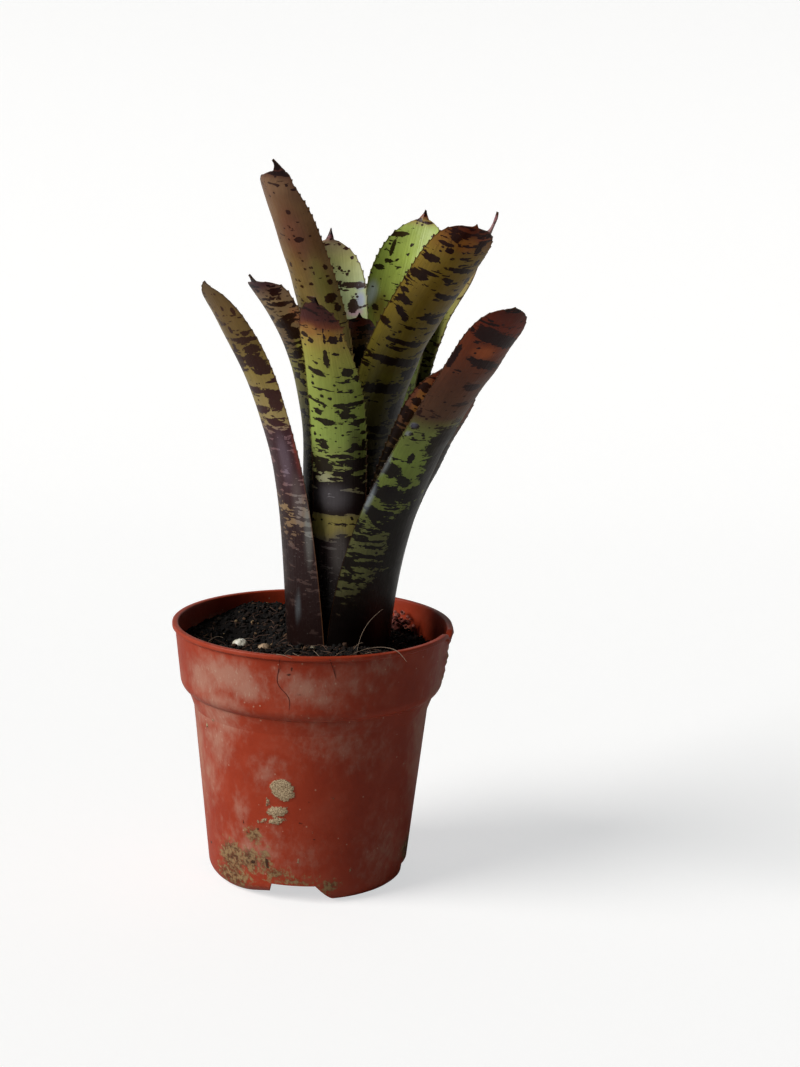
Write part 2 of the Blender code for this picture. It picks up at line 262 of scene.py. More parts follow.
# %% The leaves' shapes
PLANT_X = 12.0
PLANT_Y = -1.0
SHEATH_FOOT = 96.0
RING_TO_BLADE = 90.0
WIDEST_FROM = 70.0
POINT_WIDTH = 0.5
MIDRIB_STEPS = 240

Leaf = namedtuple(
    "Leaf",
    "name faces ring length low high bend_at bend_over sway roll sheath blade belly trough taper opens point",
)
LEAVES = (
    Leaf("leaf_left_outer", 205, 22.4, 171, 4, 32, 0.61, 0.75, 9, -12, 41.5, 26.5, 0, 20.5, 50.5, 116, 2),
    Leaf("leaf_right_front", 303, 20.9, 192, 1, 44, 0.32, 0.93, -4, 9, 38, 25.5, -0.06, 22, 27.5, 126, 1.2),
    Leaf("leaf_right_behind", 313, 19.4, 153, 3, 38, 0.42, 0.9, -20, 17, 37, 30, 0.08, 26, 30.5, 67, 3),
    Leaf("leaf_front", 262, 17.9, 169, 0, 31, 0.53, 0.53, -9, 2, 36, 23.5, 0.05, 20.5, 22, 75, 2.5),
    Leaf("leaf_left_behind", 205, 16.4, 172, 0, 38, 0.74, 0.53, 5, -15, 29.5, 24, 0.05, 19.5, 11, 61, 3.5),
    Leaf("leaf_right_back", 35, 17.9, 201, 6, 29, 0.48, 1.02, 4, 18, 32, 20, 0.05, 20, 25.5, 70, 4),
    Leaf("leaf_back_green", 60, 16.4, 199, 4, 26, 0.42, 1.02, 6, -3, 29, 37, 0.02, 19.5, 33, 80, 4),
    Leaf("leaf_back_pale", 107, 15.1, 184, -1, 25, 0.77, 0.77, 2, 4, 26.5, 29, 0.03, 17.5, 24, 72, 5),
    Leaf("leaf_right_inner", 315, 16.4, 210, 0, 42, 0.56, 0.53, -20, 20, 29.5, 27.5, 0.11, 18.5, 30, 69, 1.5),
    Leaf("leaf_tall_left", 229, 14.5, 224, -1, 35, 0.62, 0.54, 20, 5, 29.5, 25.5, 0.09, 16, 34, 60, 5),
    Leaf("leaf_centre", 292, 13.2, 150, -3, 4, 0.65, 0.87, 1, 2, 31, 23, 0.01, 14.5, 11.5, 68, 2),
)

# %% [markdown]
# No leaf is quite even. An end may be blunt or pointed, its spike stands to one side, its spines are
# bold or faint, and the blade drifts off its line, a little in most leaves and by a centimetre in
# leaf_right_back, which is drawn behind its neighbour. These habits are listed apart, so that the main
# shape above stays readable. A drift is given in pairs: how far up, and how far to the right. The last
# list widens or narrows the right half alone in the same way.

# %% The leaves' own habits
STRAIGHT = ((0, 0),)
Habit = namedtuple(
    "Habit", "square spike spines drift right", defaults=(2.0, 3.0, 1.0, STRAIGHT, STRAIGHT)
)
HABITS = {
    "leaf_left_outer": Habit(2.3, 6.0, 0.35, ((0, -1.7), (100, -1.8), (155, -1.2), (171, -1.6))),
    "leaf_right_front": Habit(
        2.3, 6.0, 0.4,
        ((0, 0), (60, 0.2), (192, 0.2)),
        ((0, 1.0), (20, 2.0), (60, 2.8), (120, 2.2), (165, 0.2)),
    ),
    "leaf_right_behind": Habit(2.0, 3.0, 0.6, right=((0, 0), (100, 0), (135, -3.0), (153, -2.0))),
    "leaf_front": Habit(
        2.6, 6.0, 1.0,
        ((0, 0), (155, 0), (166, -1.5), (169, -2.4)),
        ((0, 0), (118, 0), (134, -1.8), (150, -5.0), (169, -4.0)),
    ),
    "leaf_left_behind": Habit(2.4, 4.0, 0.8, ((0, 0), (60, -0.6), (164, -0.8), (168, -1.6), (173, -2.4))),
    "leaf_right_back": Habit(
        1.8, 5.0, 0.6,
        (
            (0, 0), (60, 0), (115, 10), (136, 12), (148, 11.5), (160, 7),
            (172, 0), (186, -5), (195, -5.5), (201, -3),
        ),
        ((0, 0), (60, 0), (115, -9), (136, -11), (148, -10.5), (160, -6), (172, 0), (201, 0)),
    ),
    "leaf_back_green": Habit(1.8, 4.5, 0.8, ((0, 0), (80, -0.4), (150, 0.8), (185, 0.6), (199, 0))),
    "leaf_back_pale": Habit(
        2.0, 3.5, 0.9,
        ((0, 0), (177, 0), (180, -1.0), (184, -1.6)),
        ((0, 0), (90, 1.8), (160, 1.8), (184, 0)),
    ),
    "leaf_right_inner": Habit(2.7, 3.0, 0.8, ((0, 0), (150, 0), (200, 1.0), (210, 1.6))),
    "leaf_tall_left": Habit(
        2.2, 5.0, 0.8,
        ((0, 0), (140, 0), (185, -2.6), (206, -3.2), (213, -2.4), (219, 1.6), (222, 1.2), (224, 0)),
    ),
    "leaf_centre": Habit(2.0, 3.0, 1.0),
}
print("leaves:", ", ".join(leaf.name for leaf in LEAVES))


def leaf_width(leaf, up):
    """Width along the curved section at a distance up the leaf, in millimetres."""
    width = leaf.sheath + (leaf.blade - leaf.sheath) * smooth_step(up / leaf.opens)
    swell = np.clip((up - WIDEST_FROM) / (leaf.length - WIDEST_FROM), 0.0, 1.0)
    width = width * (1.0 + leaf.belly * np.sin(math.pi * swell))
    left = leaf.length - up
    habit = HABITS[leaf.name]
    rounded = 1.0 - np.clip((left - leaf.point) / leaf.taper, 0.0, 1.0)
    width = np.maximum(width * (1.0 - rounded**habit.square) ** (1.0 / habit.square), habit.spike)
    spike = POINT_WIDTH + (habit.spike - POINT_WIDTH) * np.clip(left / leaf.point, 0.0, 1.0) ** 1.3
    return np.where(left < leaf.point, spike, width)


def midrib(leaf):
    """Shares of the length, points of the middle line, and the directions across and out of the back."""
    share = np.linspace(0.0, 1.0, MIDRIB_STEPS + 1)
    bend = smooth_step((share - leaf.bend_at + leaf.bend_over / 2) / leaf.bend_over)
    lean = np.radians(leaf.low + (leaf.high - leaf.low) * bend)
    heading = np.radians(leaf.faces + leaf.sway * share**2)
    flat = np.sin(lean)
    ahead = np.stack([flat * np.cos(heading), flat * np.sin(heading), np.cos(lean)], 1)
    turn = math.radians(leaf.faces)
    foot = (PLANT_X + leaf.ring * math.cos(turn), PLANT_Y + leaf.ring * math.sin(turn), SHEATH_FOOT)
    steps = (ahead[1:] + ahead[:-1]) / 2 * leaf.length / MIDRIB_STEPS
    line = np.vstack([np.zeros(3), np.cumsum(steps, 0)]) + foot
    across = np.stack([-np.sin(heading), np.cos(heading), 0 * heading], 1)
    out = np.cross(across, ahead)
    roll = np.radians(leaf.roll * share**1.5)[:, None]
    across, out = (
        across * np.cos(roll) + out * np.sin(roll),
        out * np.cos(roll) - across * np.sin(roll),
    )
    return share, line, across, out


def leaf_surface(leaf, up, side, beyond, depth):
    """Points of the leaf: up it, at a share of the half width, plus a spine beyond it, at a depth."""
    share, line, across, out = midrib(leaf)
    at = (up / leaf.length).ravel()
    middle, sideways, back = (
        np.stack([np.interp(at, share, values[:, k]) for k in range(3)], 1).reshape(up.shape + (3,))
        for values in (line, across, out)
    )
    hollow = leaf.ring + (leaf.trough - leaf.ring) * smooth_step(up / RING_TO_BLADE)
    habit = HABITS[leaf.name]
    drift = np.interp(up, *zip(*habit.drift)) if len(habit.drift) > 1 else 0.0
    fuller = np.clip(side, 0.0, 1.0) * np.interp(up, *zip(*habit.right)) if len(habit.right) > 1 else 0.0
    turn = (side * leaf_width(leaf, up) / 2 + beyond + drift + fuller) / hollow
    radius = (hollow - depth)[..., None]
    turn = turn[..., None]
    return middle + sideways * radius * np.sin(turn) - back * (hollow[..., None] - radius * np.cos(turn))


print("width of the front leaf half way up:", round(float(leaf_width(LEAVES[3], np.array(85.0))), 1), "mm")

# %% [markdown]
# What makes this plant is its paint. A pale or green ground turns dark red towards the ends and nearly
# black down in the cup. Across it run broken dark bars and spots, and grey scales dull the backs.
# For each leaf, a few stops up its length give the ground, the dark tone, how much of the ground the
# bars cover, and how scaly it is. On leaf_back_green and leaf_right_inner the ground also darkens down
# the leaf, partly as painted shade over its lower part. Single marks sit where the real leaf has them,
# except the large ones on the right half of leaf_right_front, which paint that half's shade as well as
# its own dark colouring. Tints are laid on the ground: most are the leaf's own colour, and the grey and
# bluish-white ones on leaf_left_outer and leaf_right_front are painted highlights of the glossy skin.

# %% Paint of the leaves
Stop = namedtuple("Stop", "up ground dark cover scales")
Mark = namedtuple("Mark", "up across tall wide slant", defaults=(0,))
Patch = namedtuple("Patch", "up across tall wide colour through", defaults=(0.0,))
Paint = namedtuple("Paint", "stops marks patches dark_point big_spines")

def leaf_paint(stops, marks, patches, dark_point=2.0, big_spines=1.0):
    """One leaf's paint, from plain rows of stops, marks and patches."""
    return Paint(
        [Stop(*row) for row in stops],
        [Mark(*row) for row in marks],
        [Patch(*row) for row in patches],
        dark_point,
        big_spines,
    )


PAINT = {
    "leaf_left_outer": leaf_paint(
        (
            (0, "2a1e1a", "1c1410", 0.9, 0.3), (30, "3c2c28", "2c1e1c", 0.7, 0.5),
            (52, "503c38", "342424", 0.7, 0.6), (62, "7c6448", "38282a", 0.5, 0.4),
            (69, "846c4c", "3c2a2c", 0.5, 0.4), (76, "6e504e", "4a343a", 0.7, 0.5),
            (100, "745458", "4e343c", 0.7, 0.5), (106, "948252", "4a2a2c", 0.25, 0.1),
            (128, "8c783c", "40201a", 0.25, 0.1), (140, "725c2c", "42260f", 0.35, 0.1),
            (155, "745a30", "50300f", 0.15, 0.1), (171, "68502e", "583818", 0.05, 0.1),
        ),
        (
            (134, -5, 1.7, 7, 6), (130.5, -6, 1.3, 6, 10), (138.5, 7.5, 1.8, 4, 10), (133, 7, 3.2, 5, -8),
            (128.5, 8.5, 1.5, 4.5), (119.8, -2, 1.4, 8.5, -3), (118, 9, 2.2, 4.5, -10),
            (110.8, -1.5, 1.8, 6, 4), (113.5, 9.5, 3.2, 3), (105.5, 6, 1.4, 5, -10),
            (155, -3.7, 1.4, 1.1), (158, -4.6, 0.8, 0.8), (158.4, 2.6, 1.1, 0.8), (156.3, 7.4, 1.7, 0.8),
            (148, 1, 1.8, 0.9), (140, -2.3, 1.5, 1.3), (143, 5, 1.6, 1.7, 20), (146, 8, 1, 2),
        ),
        # The four grey patches from 26 to 90 mm up are painted highlights of the glossy sheath; the other two
        # are its own tints.
        (
            (26, 8, 8, 1, "6c7478", 0.6), (58, 15, 14, 2, "7c7c78", 0.45), (72, 11, 12, 3, "7a706c", 0.3),
            (90, 7, 12, 3.5, "786874", 0.4), (92, 13.5, 10, 1.2, "7c342a", 0.5),
            (150, -9, 18, 4, "94805c", 0.3),
        ),
        0,
    ),
    "leaf_right_front": leaf_paint(
        (
            (0, "241a16", "0e0906", 0.9, 0.2), (25, "30261c", "120c08", 0.8, 0.2),
            (38, "565634", "1a140c", 0.4, 0.2), (60, "686a3e", "1c1610", 0.45, 0.2),
            (78, "76803e", "1e1820", 0.35, 0.1), (100, "8ca048", "241a14", 0.15, 0),
            (117, "86904a", "2a1a14", 0.12, 0), (126, "664630", "44200e", 0.15, 0),
            (150, "6a3c28", "3a1410", 0.1, 0), (166, "803c1e", "2e0c0e", 0.1, 0),
            (180, "762a12", "38120f", 0.12, 0), (192, "54180a", "200808", 0.3, 0),
        ),
        # The large marks on the right half, at 50, 92 and 106 mm up, paint that half's shade as well as its
        # own dark colouring.
        (
            (175, -1, 3.6, 10, -16), (171.5, 7, 3, 4.5, -25), (159.3, 3, 2.3, 8, -16),
            (145, 4.5, 1.7, 5, -14), (160, -11, 6, 1.2), (127, -10.7, 1.6, 0.9), (119.7, -9.3, 1.1, 1.6),
            (115, -9.3, 1, 0.9), (106, 9.5, 15, 7.5, 16), (92, 12, 15, 7, 25), (102.7, -4.3, 2.9, 1, 10),
            (95, -9.5, 3.4, 4.2, -35), (90.5, -3, 1.8, 4, -30), (82.5, -6, 3.8, 7, -8),
            (83, 5, 6, 4.5, -40), (72, -10, 2.6, 4, -20), (66, 2, 3.4, 9, -10), (50, 9, 30, 8, 4),
            (48, -7, 1.4, 6, 5), (34, 4, 12, 9), (14, 0, 14, 20),
        ),
        # The bluish-white patches along the margins are painted highlights of the glossy skin; the others are
        # its own tints.
        (
            (166, -1, 4, 5, "b0582a"), (120, -10, 1.4, 1.6, "8d90a8", 0.5),
            (115, -10.5, 1.2, 1.2, "a0a4a8", 0.5), (97, -13, 6, 1.6, "a4acac", 0.6),
            (80, -14, 8, 1.8, "a0aab0", 0.7), (46, 14, 10, 1, "a8b0b8", 0.8), (45, -9, 8, 5, "65683c"),
        ),
        1.5,
    ),
    "leaf_right_behind": leaf_paint(
        (
            (0, "1c1410", "0c0806", 0.9, 0.1), (75, "2e2418", "120c06", 0.7, 0.1),
            (100, "4a3a22", "180c04", 0.5, 0), (120, "6e4630", "2c1006", 0.35, 0),
            (140, "803e2a", "300c08", 0.3, 0), (153, "5c2018", "240806", 0.5, 0),
        ),
        (
            (134, -11, 2, 2.5, 20), (126, -12, 1.8, 2.2, 20), (117, -12.5, 2, 2, 20),
            (108, -12, 2.2, 2.4, 20),
        ),
        (
            (125, 12, 14, 3, "8c5040"), (128, -11, 12, 2.4, "9a6430"),
        ),
    ),
    "leaf_front": leaf_paint(
        (
            (0, "241c18", "1a1410", 0.9, 0.3), (35, "443e3a", "2c2624", 0.75, 0.7),
            (54, "625856", "3c3032", 0.75, 0.6), (58, "8c8048", "2c201c", 0.2, 0.1),
            (65, "94884a", "2c1e1c", 0.25, 0.1), (68, "6c6254", "281c1c", 0.9, 0.5),
            (80, "868058", "281e20", 0.62, 0.4), (90, "939c54", "2c2420", 0.5, 0.1),
            (100, "98ac54", "2c2418", 0.22, 0), (128, "a0ac50", "2a1c0e", 0.17, 0),
            (142, "aaa44a", "30180a", 0.08, 0), (151, "b4904a", "34140c", 0.06, 0),
            (155, "7c4228", "34140e", 0.15, 0), (159, "502622", "301010", 0.35, 0),
            (169, "3a1816", "281010", 0.3, 0),
        ),
        (
            (150.5, -0.7, 4.6, 0.6), (138.9, -1.1, 3.2, 1.2, 6), (142.8, -1.2, 1.4, 0.9),
            (150.1, -9.7, 1.1, 1.6), (147.9, -6.9, 1.1, 1.3), (149.3, 4.6, 1.6, 3.4, 4),
            (149.6, 9.8, 1.8, 1.2), (132.4, -6.4, 1.4, 4.4, -8), (133.2, 8, 2.2, 2.2, 30),
            (137, -5.9, 0.7, 0.7), (129.4, -8.4, 0.8, 0.8), (125.9, -8.9, 0.9, 0.7),
            (126.7, 0.9, 0.8, 0.7), (124.9, 2.3, 0.7, 0.7), (128.6, 7.6, 1, 0.9), (129.4, 11.4, 1.6, 0.8),
            (120.6, -5.1, 0.8, 0.9), (117.2, -7.4, 0.8, 4.6, -12), (119.9, -1.6, 1, 1),
            (116.8, 6.2, 0.95, 6.4, 3), (112.3, -7.3, 1.3, 1.7), (114.6, -4.4, 0.8, 1.1),
            (111.8, 3.9, 1.7, 1.9, 15), (111, 7.4, 1.2, 1.4, -30), (113.2, 0.7, 0.8, 0.8),
            (107.9, -4.6, 1.3, 4.6, -4), (108, 9.4, 1.3, 2.6, 6), (102.7, 11, 1, 1),
            (101.3, -9.9, 0.8, 0.7), (96.3, -5.6, 1.3, 1.9), (97, 7.3, 1.3, 1.6, 10),
            (97.6, 11.2, 1.8, 1), (87.5, -6, 2.6, 3.6), (89, 8, 2.2, 4.2, -6), (71, 0, 2.8, 13),
        ),
        (
            (74, -3, 6, 9, "7c787c", 0.35), (50, 1, 10, 4, "66625e", 0.5), (153, -7, 3, 4, "a8783c"),
            (151, 3, 3, 5, "a0742e"), (82, -6, 3, 4, "a8a882"), (94, 8, 14, 4, "687036"),
        ),
        2,
        2.4,
    ),
    "leaf_left_behind": leaf_paint(
        (
            (0, "2c241e", "14100c", 0.9, 0.2), (60, "4a443a", "1c1410", 0.7, 0.3),
            (75, "3c3826", "160c08", 0.6, 0.1), (105, "7c7846", "2a2010", 0.35, 0),
            (128, "9c9446", "36200e", 0.35, 0), (138, "7c6244", "302010", 0.45, 0),
            (152, "967c54", "3c220e", 0.35, 0), (162, "8c6e52", "401e18", 0.3, 0),
            (166, "5c3a3c", "2c161a", 0.4, 0), (172, "402226", "200c12", 0.3, 0),
        ),
        (
            (156.5, 5, 1, 7, -5), (150, 6, 1.1, 6, 10), (147, 1, 1.2, 6.5, 8), (142, 7, 1.2, 3.4, 25),
            (133, 2, 1.6, 4, 15), (128, 2, 1, 2.6), (121, 1, 1.2, 2), (112, 1, 1.6, 1.6),
        ),
        (
            (150, 10, 4, 3, "a87048"), (158, 1, 3, 6, "a88a62"), (135, 5, 6, 2, "a8a24a"),
        ),
        3.5,
    ),
    "leaf_right_back": leaf_paint(
        (
            (0, "2a2418", "120e08", 0.8, 0.2), (90, "5c6034", "241a10", 0.4, 0.1),
            (150, "8a8a48", "3a2412", 0.3, 0.1), (182, "8c6850", "43281a", 0.25, 0.3),
            (193, "8a5e60", "4a2628", 0.2, 0.4), (201, "6c3c44", "3a161c", 0.3, 0),
        ),
        (
            (180, 6, 1.6, 4), (168, 4, 1.6, 5), (150, 6, 1.6, 5), (120, 0, 2.4, 7),
        ),
        (),
    ),
    "leaf_back_green": leaf_paint(
        # From 160 mm down the ground darkens partly as painted shade over the leaf's lower part.
        (
            (0, "2c2a18", "12100a", 0.8, 0.2), (90, "5a6a34", "241c10", 0.35, 0.1),
            (140, "6a7432", "2c2410", 0.25, 0), (160, "8c9a44", "32280e", 0.1, 0),
            (175, "9db04e", "323010", 0.06, 0), (190, "a2b45a", "403018", 0.06, 0),
            (193, "98884c", "3c1a12", 0.2, 0), (196, "7c3a24", "300c0a", 0.4, 0),
        ),
        (
            (194.5, 3, 0.9, 2.6, 20), (185.6, 9.4, 1.2, 3.8, -16), (179.4, 10.7, 5.2, 0.9, 6),
            (182, 15.3, 3, 1, 12), (181.6, 2.1, 1.2, 0.9), (177, 3.4, 0.8, 0.8), (168.4, 15, 1.2, 2.6),
            (172.2, 11.4, 0.8, 2.2, -8), (173.7, 7.3, 0.7, 0.7), (165, 9, 0.7, 0.7), (157, 12, 0.8, 0.8),
            (150, 13, 1.2, 1.8), (192.7, -3, 0.8, 2.8), (183, -11, 1.4, 4), (170, -9, 1.6, 5, 10),
            (158, -5, 1.6, 4.5),
        ),
        (
            (156, 16, 6, 3, "a8b4b0"), (150, 11, 8, 4, "6a6226"),
        ),
    ),
    "leaf_back_pale": leaf_paint(
        (
            (0, "302c20", "14100c", 0.8, 0.2), (90, "6a7044", "2a1e14", 0.4, 0.1),
            (140, "9aa676", "36200f", 0.2, 0), (158, "b0bc88", "38201a", 0.1, 0),
            (170, "a4a468", "40281e", 0.08, 0), (177, "9a8a68", "4a2c2a", 0.1, 0),
            (180, "7a4850", "34141e", 0.3, 0), (184, "2c1014", "10060a", 0.5, 0),
        ),
        (
            (174.6, -7.4, 0.8, 0.9), (170.2, -9.6, 0.8, 0.7), (166.4, -3.6, 1.2, 0.8),
            (163.2, -6.8, 0.9, 0.7), (158.6, -9, 1.3, 5.4, 4), (150.4, -8.4, 3, 2.1), (155, 4, 1.4, 4.5),
            (166, 6, 1.2, 3),
        ),
        (
            (158, -12.5, 1.8, 2.6, "8a90b0"), (152, -12, 4, 2.4, "a8b0c0"), (147, -9, 2, 4, "b89aa0"),
        ),
        3,
    ),
    "leaf_right_inner": leaf_paint(
        # From 140 mm down the ground darkens partly as painted shade over the leaf's lower part.
        (
            (0, "241e14", "100a06", 0.85, 0.2), (75, "3a3220", "140e08", 0.6, 0.2),
            (100, "4a4622", "180e04", 0.3, 0), (125, "5c561f", "1a0c04", 0.25, 0),
            (140, "7c6e28", "2a1206", 0.2, 0), (170, "8c7429", "2c0e06", 0.2, 0),
            (190, "947a2e", "300e06", 0.2, 0), (200, "94622a", "3a0e06", 0.25, 0),
            (206, "6c2c18", "40100a", 0.5, 0), (210, "7c3c20", "48140c", 0.3, 0),
        ),
        (
            (201.3, -4.7, 1.8, 2.2, 20), (200.9, 6.7, 1.5, 1.9, -25), (196.6, -7.3, 1, 3, 5),
            (196.2, 7, 1.7, 1.6), (194, -4.6, 1.2, 1.4), (190.6, -2, 1, 0.8), (189, 10, 1.3, 1.2, -20),
            (187.6, -9.6, 1.7, 3.4, 6), (185, 4.8, 1.3, 6.2, -6), (180.3, -7, 0.8, 4.2),
            (179.4, 1.2, 1.3, 2.2, -10), (177, -10.6, 2, 3.8, 4), (177.6, 12.2, 1.6, 2, -30),
            (170, 4.2, 1.3, 5.2, -14), (168.2, 12, 1.6, 2.6, -20), (167.8, -12.4, 1, 2),
            (163.6, -10.4, 1.8, 3, -20), (157, -8.2, 1.4, 4.4, -38), (157.8, 2.2, 1.2, 4, 10),
            (158.6, 9, 0.9, 4.2), (155.4, 7, 1.3, 3.8, -22), (150.6, -13, 1.5, 2),
            (148.4, -5.4, 0.8, 0.9), (143.4, -2, 1.2, 6.6, -3), (142.6, 5, 1.3, 2.8, 8),
            (133.5, 0, 1.9, 14, -4), (127, 9, 2.6, 5, -10), (120.6, -1.5, 2.3, 10.5, 3),
            (110, 8, 4, 4.5, -12), (102, 0.5, 1.4, 5.4, -9),
        ),
        (
            (199, 1, 4, 4, "a86a2c"), (126, 1, 3, 7, "6e681e"), (203, 6, 2, 3, "a04a24"),
        ),
        0,
    ),
    "leaf_tall_left": leaf_paint(
        (
            (0, "2c241e", "14100c", 0.85, 0.2), (100, "6c6438", "2a1c10", 0.4, 0.1),
            (150, "8c7c44", "3a200c", 0.12, 0), (170, "8e7244", "4c2e12", 0.05, 0),
            (185, "805a38", "4a2414", 0.03, 0), (200, "866240", "50281c", 0.03, 0),
            (210, "825c42", "48201a", 0.1, 0), (216, "64362c", "381414", 0.35, 0),
            (224, "401a18", "200a0a", 0.5, 0),
        ),
        (
            (199.3, 3.7, 1, 1), (186.1, 4.6, 1, 2, 8), (172.6, -5, 1.2, 0.9, -20), (173, 5.6, 1, 0.7),
            (170.1, 6, 0.9, 0.8), (165, 3.3, 1, 0.9), (165.3, -4.7, 0.8, 0.7), (163, -1.9, 0.9, 1),
            (172, 11.3, 1.1, 0.9), (165.6, 11.3, 1.2, 1.1), (158, 9.6, 2, 2.4, 30), (153, 11.4, 1.6, 1.2),
        ),
        (
            (212, 0, 5, 8, "8e6a4c"), (190, 3, 14, 6, "80523a"), (163, 8, 14, 4, "8a8040"),
        ),
        4,
    ),
    "leaf_centre": leaf_paint(
        (
            (0, "241c14", "0e0a06", 0.8, 0.1), (120, "3a2c18", "120a04", 0.5, 0),
            (137, "6c5a36", "1e0e06", 0.3, 0), (145, "743226", "300e0a", 0.4, 0),
            (150, "5c2018", "240808", 0.4, 0),
        ),
        (
            (133, 1, 3, 5), (126, 0, 4, 8),
        ),
        (),
    ),
}
print("marks placed by hand:", sum(len(paint.marks) for paint in PAINT.values()))

# %% [markdown]
# One leaf skin serves all eleven leaves, because they differ only in the values stored on their points.
# The marks arrive as a share of the way into the mark, so noise can fray their edges. The
# broken bars are noise that is stretched across the leaf and cut at a level set by the cover. Small
# flecks, long streaks and grey scales complete it.

# %% Leaf skin group
skin, enter, leave = new_group(
    "leaf_skin",
    {
        "Plan": "Vector",
        "Ground": "Color",
        "Dark": "Color",
        "Mark": "Float",
        "Cover": "Float",
        "Scales": "Float",
        "Edge": "Float",
    },
    {"Colour": "Color", "Roughness": "Float", "Height": "Float"},
)
plan = enter.outputs["Plan"]
fray = maths(skin, "SUBTRACT", grain(skin, stretched(skin, plan, 0.5, 0.9), 1.0, 4.0, 0.6), 0.5)
fray_wide = maths(skin, "SUBTRACT", grain(skin, stretched(skin, plan, 0.16, 0.26), 1.0, 2.0), 0.5)
# Besides the leaf's own marks, this carries the painted shade of leaf_right_front's right half.
inside_mark_or_shade = maths(skin, "MULTIPLY_ADD", fray, 1.5, enter.outputs["Mark"])
inside_mark_or_shade = maths(skin, "MULTIPLY_ADD", fray_wide, 1.3, inside_mark_or_shade)
mark_and_shade_mask = step_mask(skin, inside_mark_or_shade, -0.06, 0.1)
bars = grain(skin, stretched(skin, plan, 0.1, 0.36), 1.0, 2.5, 0.55)
bar_level = maths(skin, "MULTIPLY_ADD", enter.outputs["Cover"], -0.42, 0.69)
bar_fray = maths(skin, "SUBTRACT", grain(skin, stretched(skin, plan, 0.34, 0.8), 1.0, 2.0), 0.5)
bars = maths(skin, "MULTIPLY_ADD", bar_fray, 0.4, bars)
bar_mask = step_mask(skin, maths(skin, "SUBTRACT", bars, bar_level), -0.006, 0.016)
cells = place(skin, "TexVoronoi", {"Vector": stretched(skin, plan, 0.3, 0.36), "Scale": 1.0})
dot_inside = maths(skin, "SUBTRACT", 0.22, cells.outputs["Distance"])
dot_pick = step_mask(skin, random_part(skin, cells), 0.62, 0.66)
dot_mask = maths(skin, "MULTIPLY", step_mask(skin, dot_inside, 0.0, 0.05), dot_pick)
dark_mask = maths(skin, "MAXIMUM", mark_and_shade_mask, maths(skin, "MAXIMUM", bar_mask, dot_mask))

streaks = grain(skin, stretched(skin, plan, 1.1, 0.035), 1.0, 3.0)
mottle = grain(skin, stretched(skin, plan, 0.16, 0.11), 1.0, 3.0)
light_level = maths(skin, "MULTIPLY_ADD", streaks, 0.34, 0.62)
light_level = maths(skin, "MULTIPLY_ADD", mottle, 0.42, light_level)
light_grey = place(skin, "CombineColor", {channel: light_level for channel in range(3)})
ground = blend(skin, 1.0, enter.outputs["Ground"], light_grey.outputs[0], "MULTIPLY")
dark_depth = maths(skin, "MULTIPLY", dark_mask, maths(skin, "MULTIPLY_ADD", mottle, 0.12, 0.92), clamp=True)
colour = blend(skin, dark_depth, ground, enter.outputs["Dark"])

flakes = grain(skin, stretched(skin, plan, 0.55, 1.0), 1.2, 4.0, 0.65)
flake_level = maths(skin, "MULTIPLY_ADD", enter.outputs["Scales"], -0.26, 0.74)
flake_inside = maths(skin, "SUBTRACT", flakes, flake_level)
flake_mask = maths(skin, "MULTIPLY", step_mask(skin, flake_inside, 0.0, 0.16), 0.6)
colour = blend(skin, flake_mask, colour, tone("8a8480"))
rim_mask = step_mask(skin, enter.outputs["Edge"], 0.55, 0.1)
colour = blend(skin, maths(skin, "MULTIPLY", rim_mask, 0.55), colour, tone("5a3a22"))
skin.links.new(colour, leave.inputs["Colour"])

satin = maths(skin, "MULTIPLY_ADD", flake_mask, 0.25, 0.28)
satin = maths(skin, "MULTIPLY_ADD", mottle, 0.16, satin)
skin.links.new(satin, leave.inputs["Roughness"])
veins = grain(skin, stretched(skin, plan, 1.5, 0.012), 1.0, 1.0)
lumps = grain(skin, stretched(skin, plan, 0.2, 0.2), 1.0, 2.0)
skin_height = maths(skin, "MULTIPLY_ADD", lumps, 0.8, maths(skin, "MULTIPLY", veins, 0.35))
skin_height = maths(skin, "MULTIPLY_ADD", flake_mask, 0.12, skin_height)
skin.links.new(skin_height, leave.inputs["Height"])

leaf_material, tree, shader = new_material("neoregelia_leaf")
leaf_coat = place(tree, "Group", node_tree=skin)
for socket, name, output in (
    ("Plan", "plan", "Vector"),
    ("Ground", "ground", "Color"),
    ("Dark", "dark", "Color"),
    ("Mark", "mark", "Fac"),
    ("Cover", "cover", "Fac"),
    ("Scales", "scales", "Fac"),
    ("Edge", "edge", "Fac"),
):
    tree.links.new(read(tree, name, output), leaf_coat.inputs[socket])
tree.links.new(leaf_coat.outputs["Colour"], shader.inputs["Base Color"])
tree.links.new(leaf_coat.outputs["Roughness"], shader.inputs["Roughness"])
shader.inputs["Specular IOR Level"].default_value = 0.24
bumped(tree, shader, leaf_coat.outputs["Height"], 0.3 * MM)
print("leaf skin:", len(skin.nodes), "nodes")

# %% [markdown]
# The margin of a neoregelia is set with small forward-leaning spines a few millimetres apart. The rows
# of the grid are placed to suit them: one row at each spine's foot, rise, point and fall. The outermost
# points are then pushed out, so the spines are part of the leaf and not stuck on.

# %% Grow the leaves
SPINE_PITCH = 3.5
SPINE_REACH = 0.85
SPINE_SHAPE = ((0.0, 0.0, 0.0), (0.42, 0.22, 0.0), (0.66, 1.0, 0.5), (0.8, 0.12, 0.1))
SPINES_FROM = 0.34
SHEATH_ROW = 1.6
COLUMNS = 29
EDGE_THICKNESS = 0.35
MIDDLE_THICKNESS = 1.05
WAVE = 0.45
DARK_GAIN = (0.56, 0.38, 0.38)


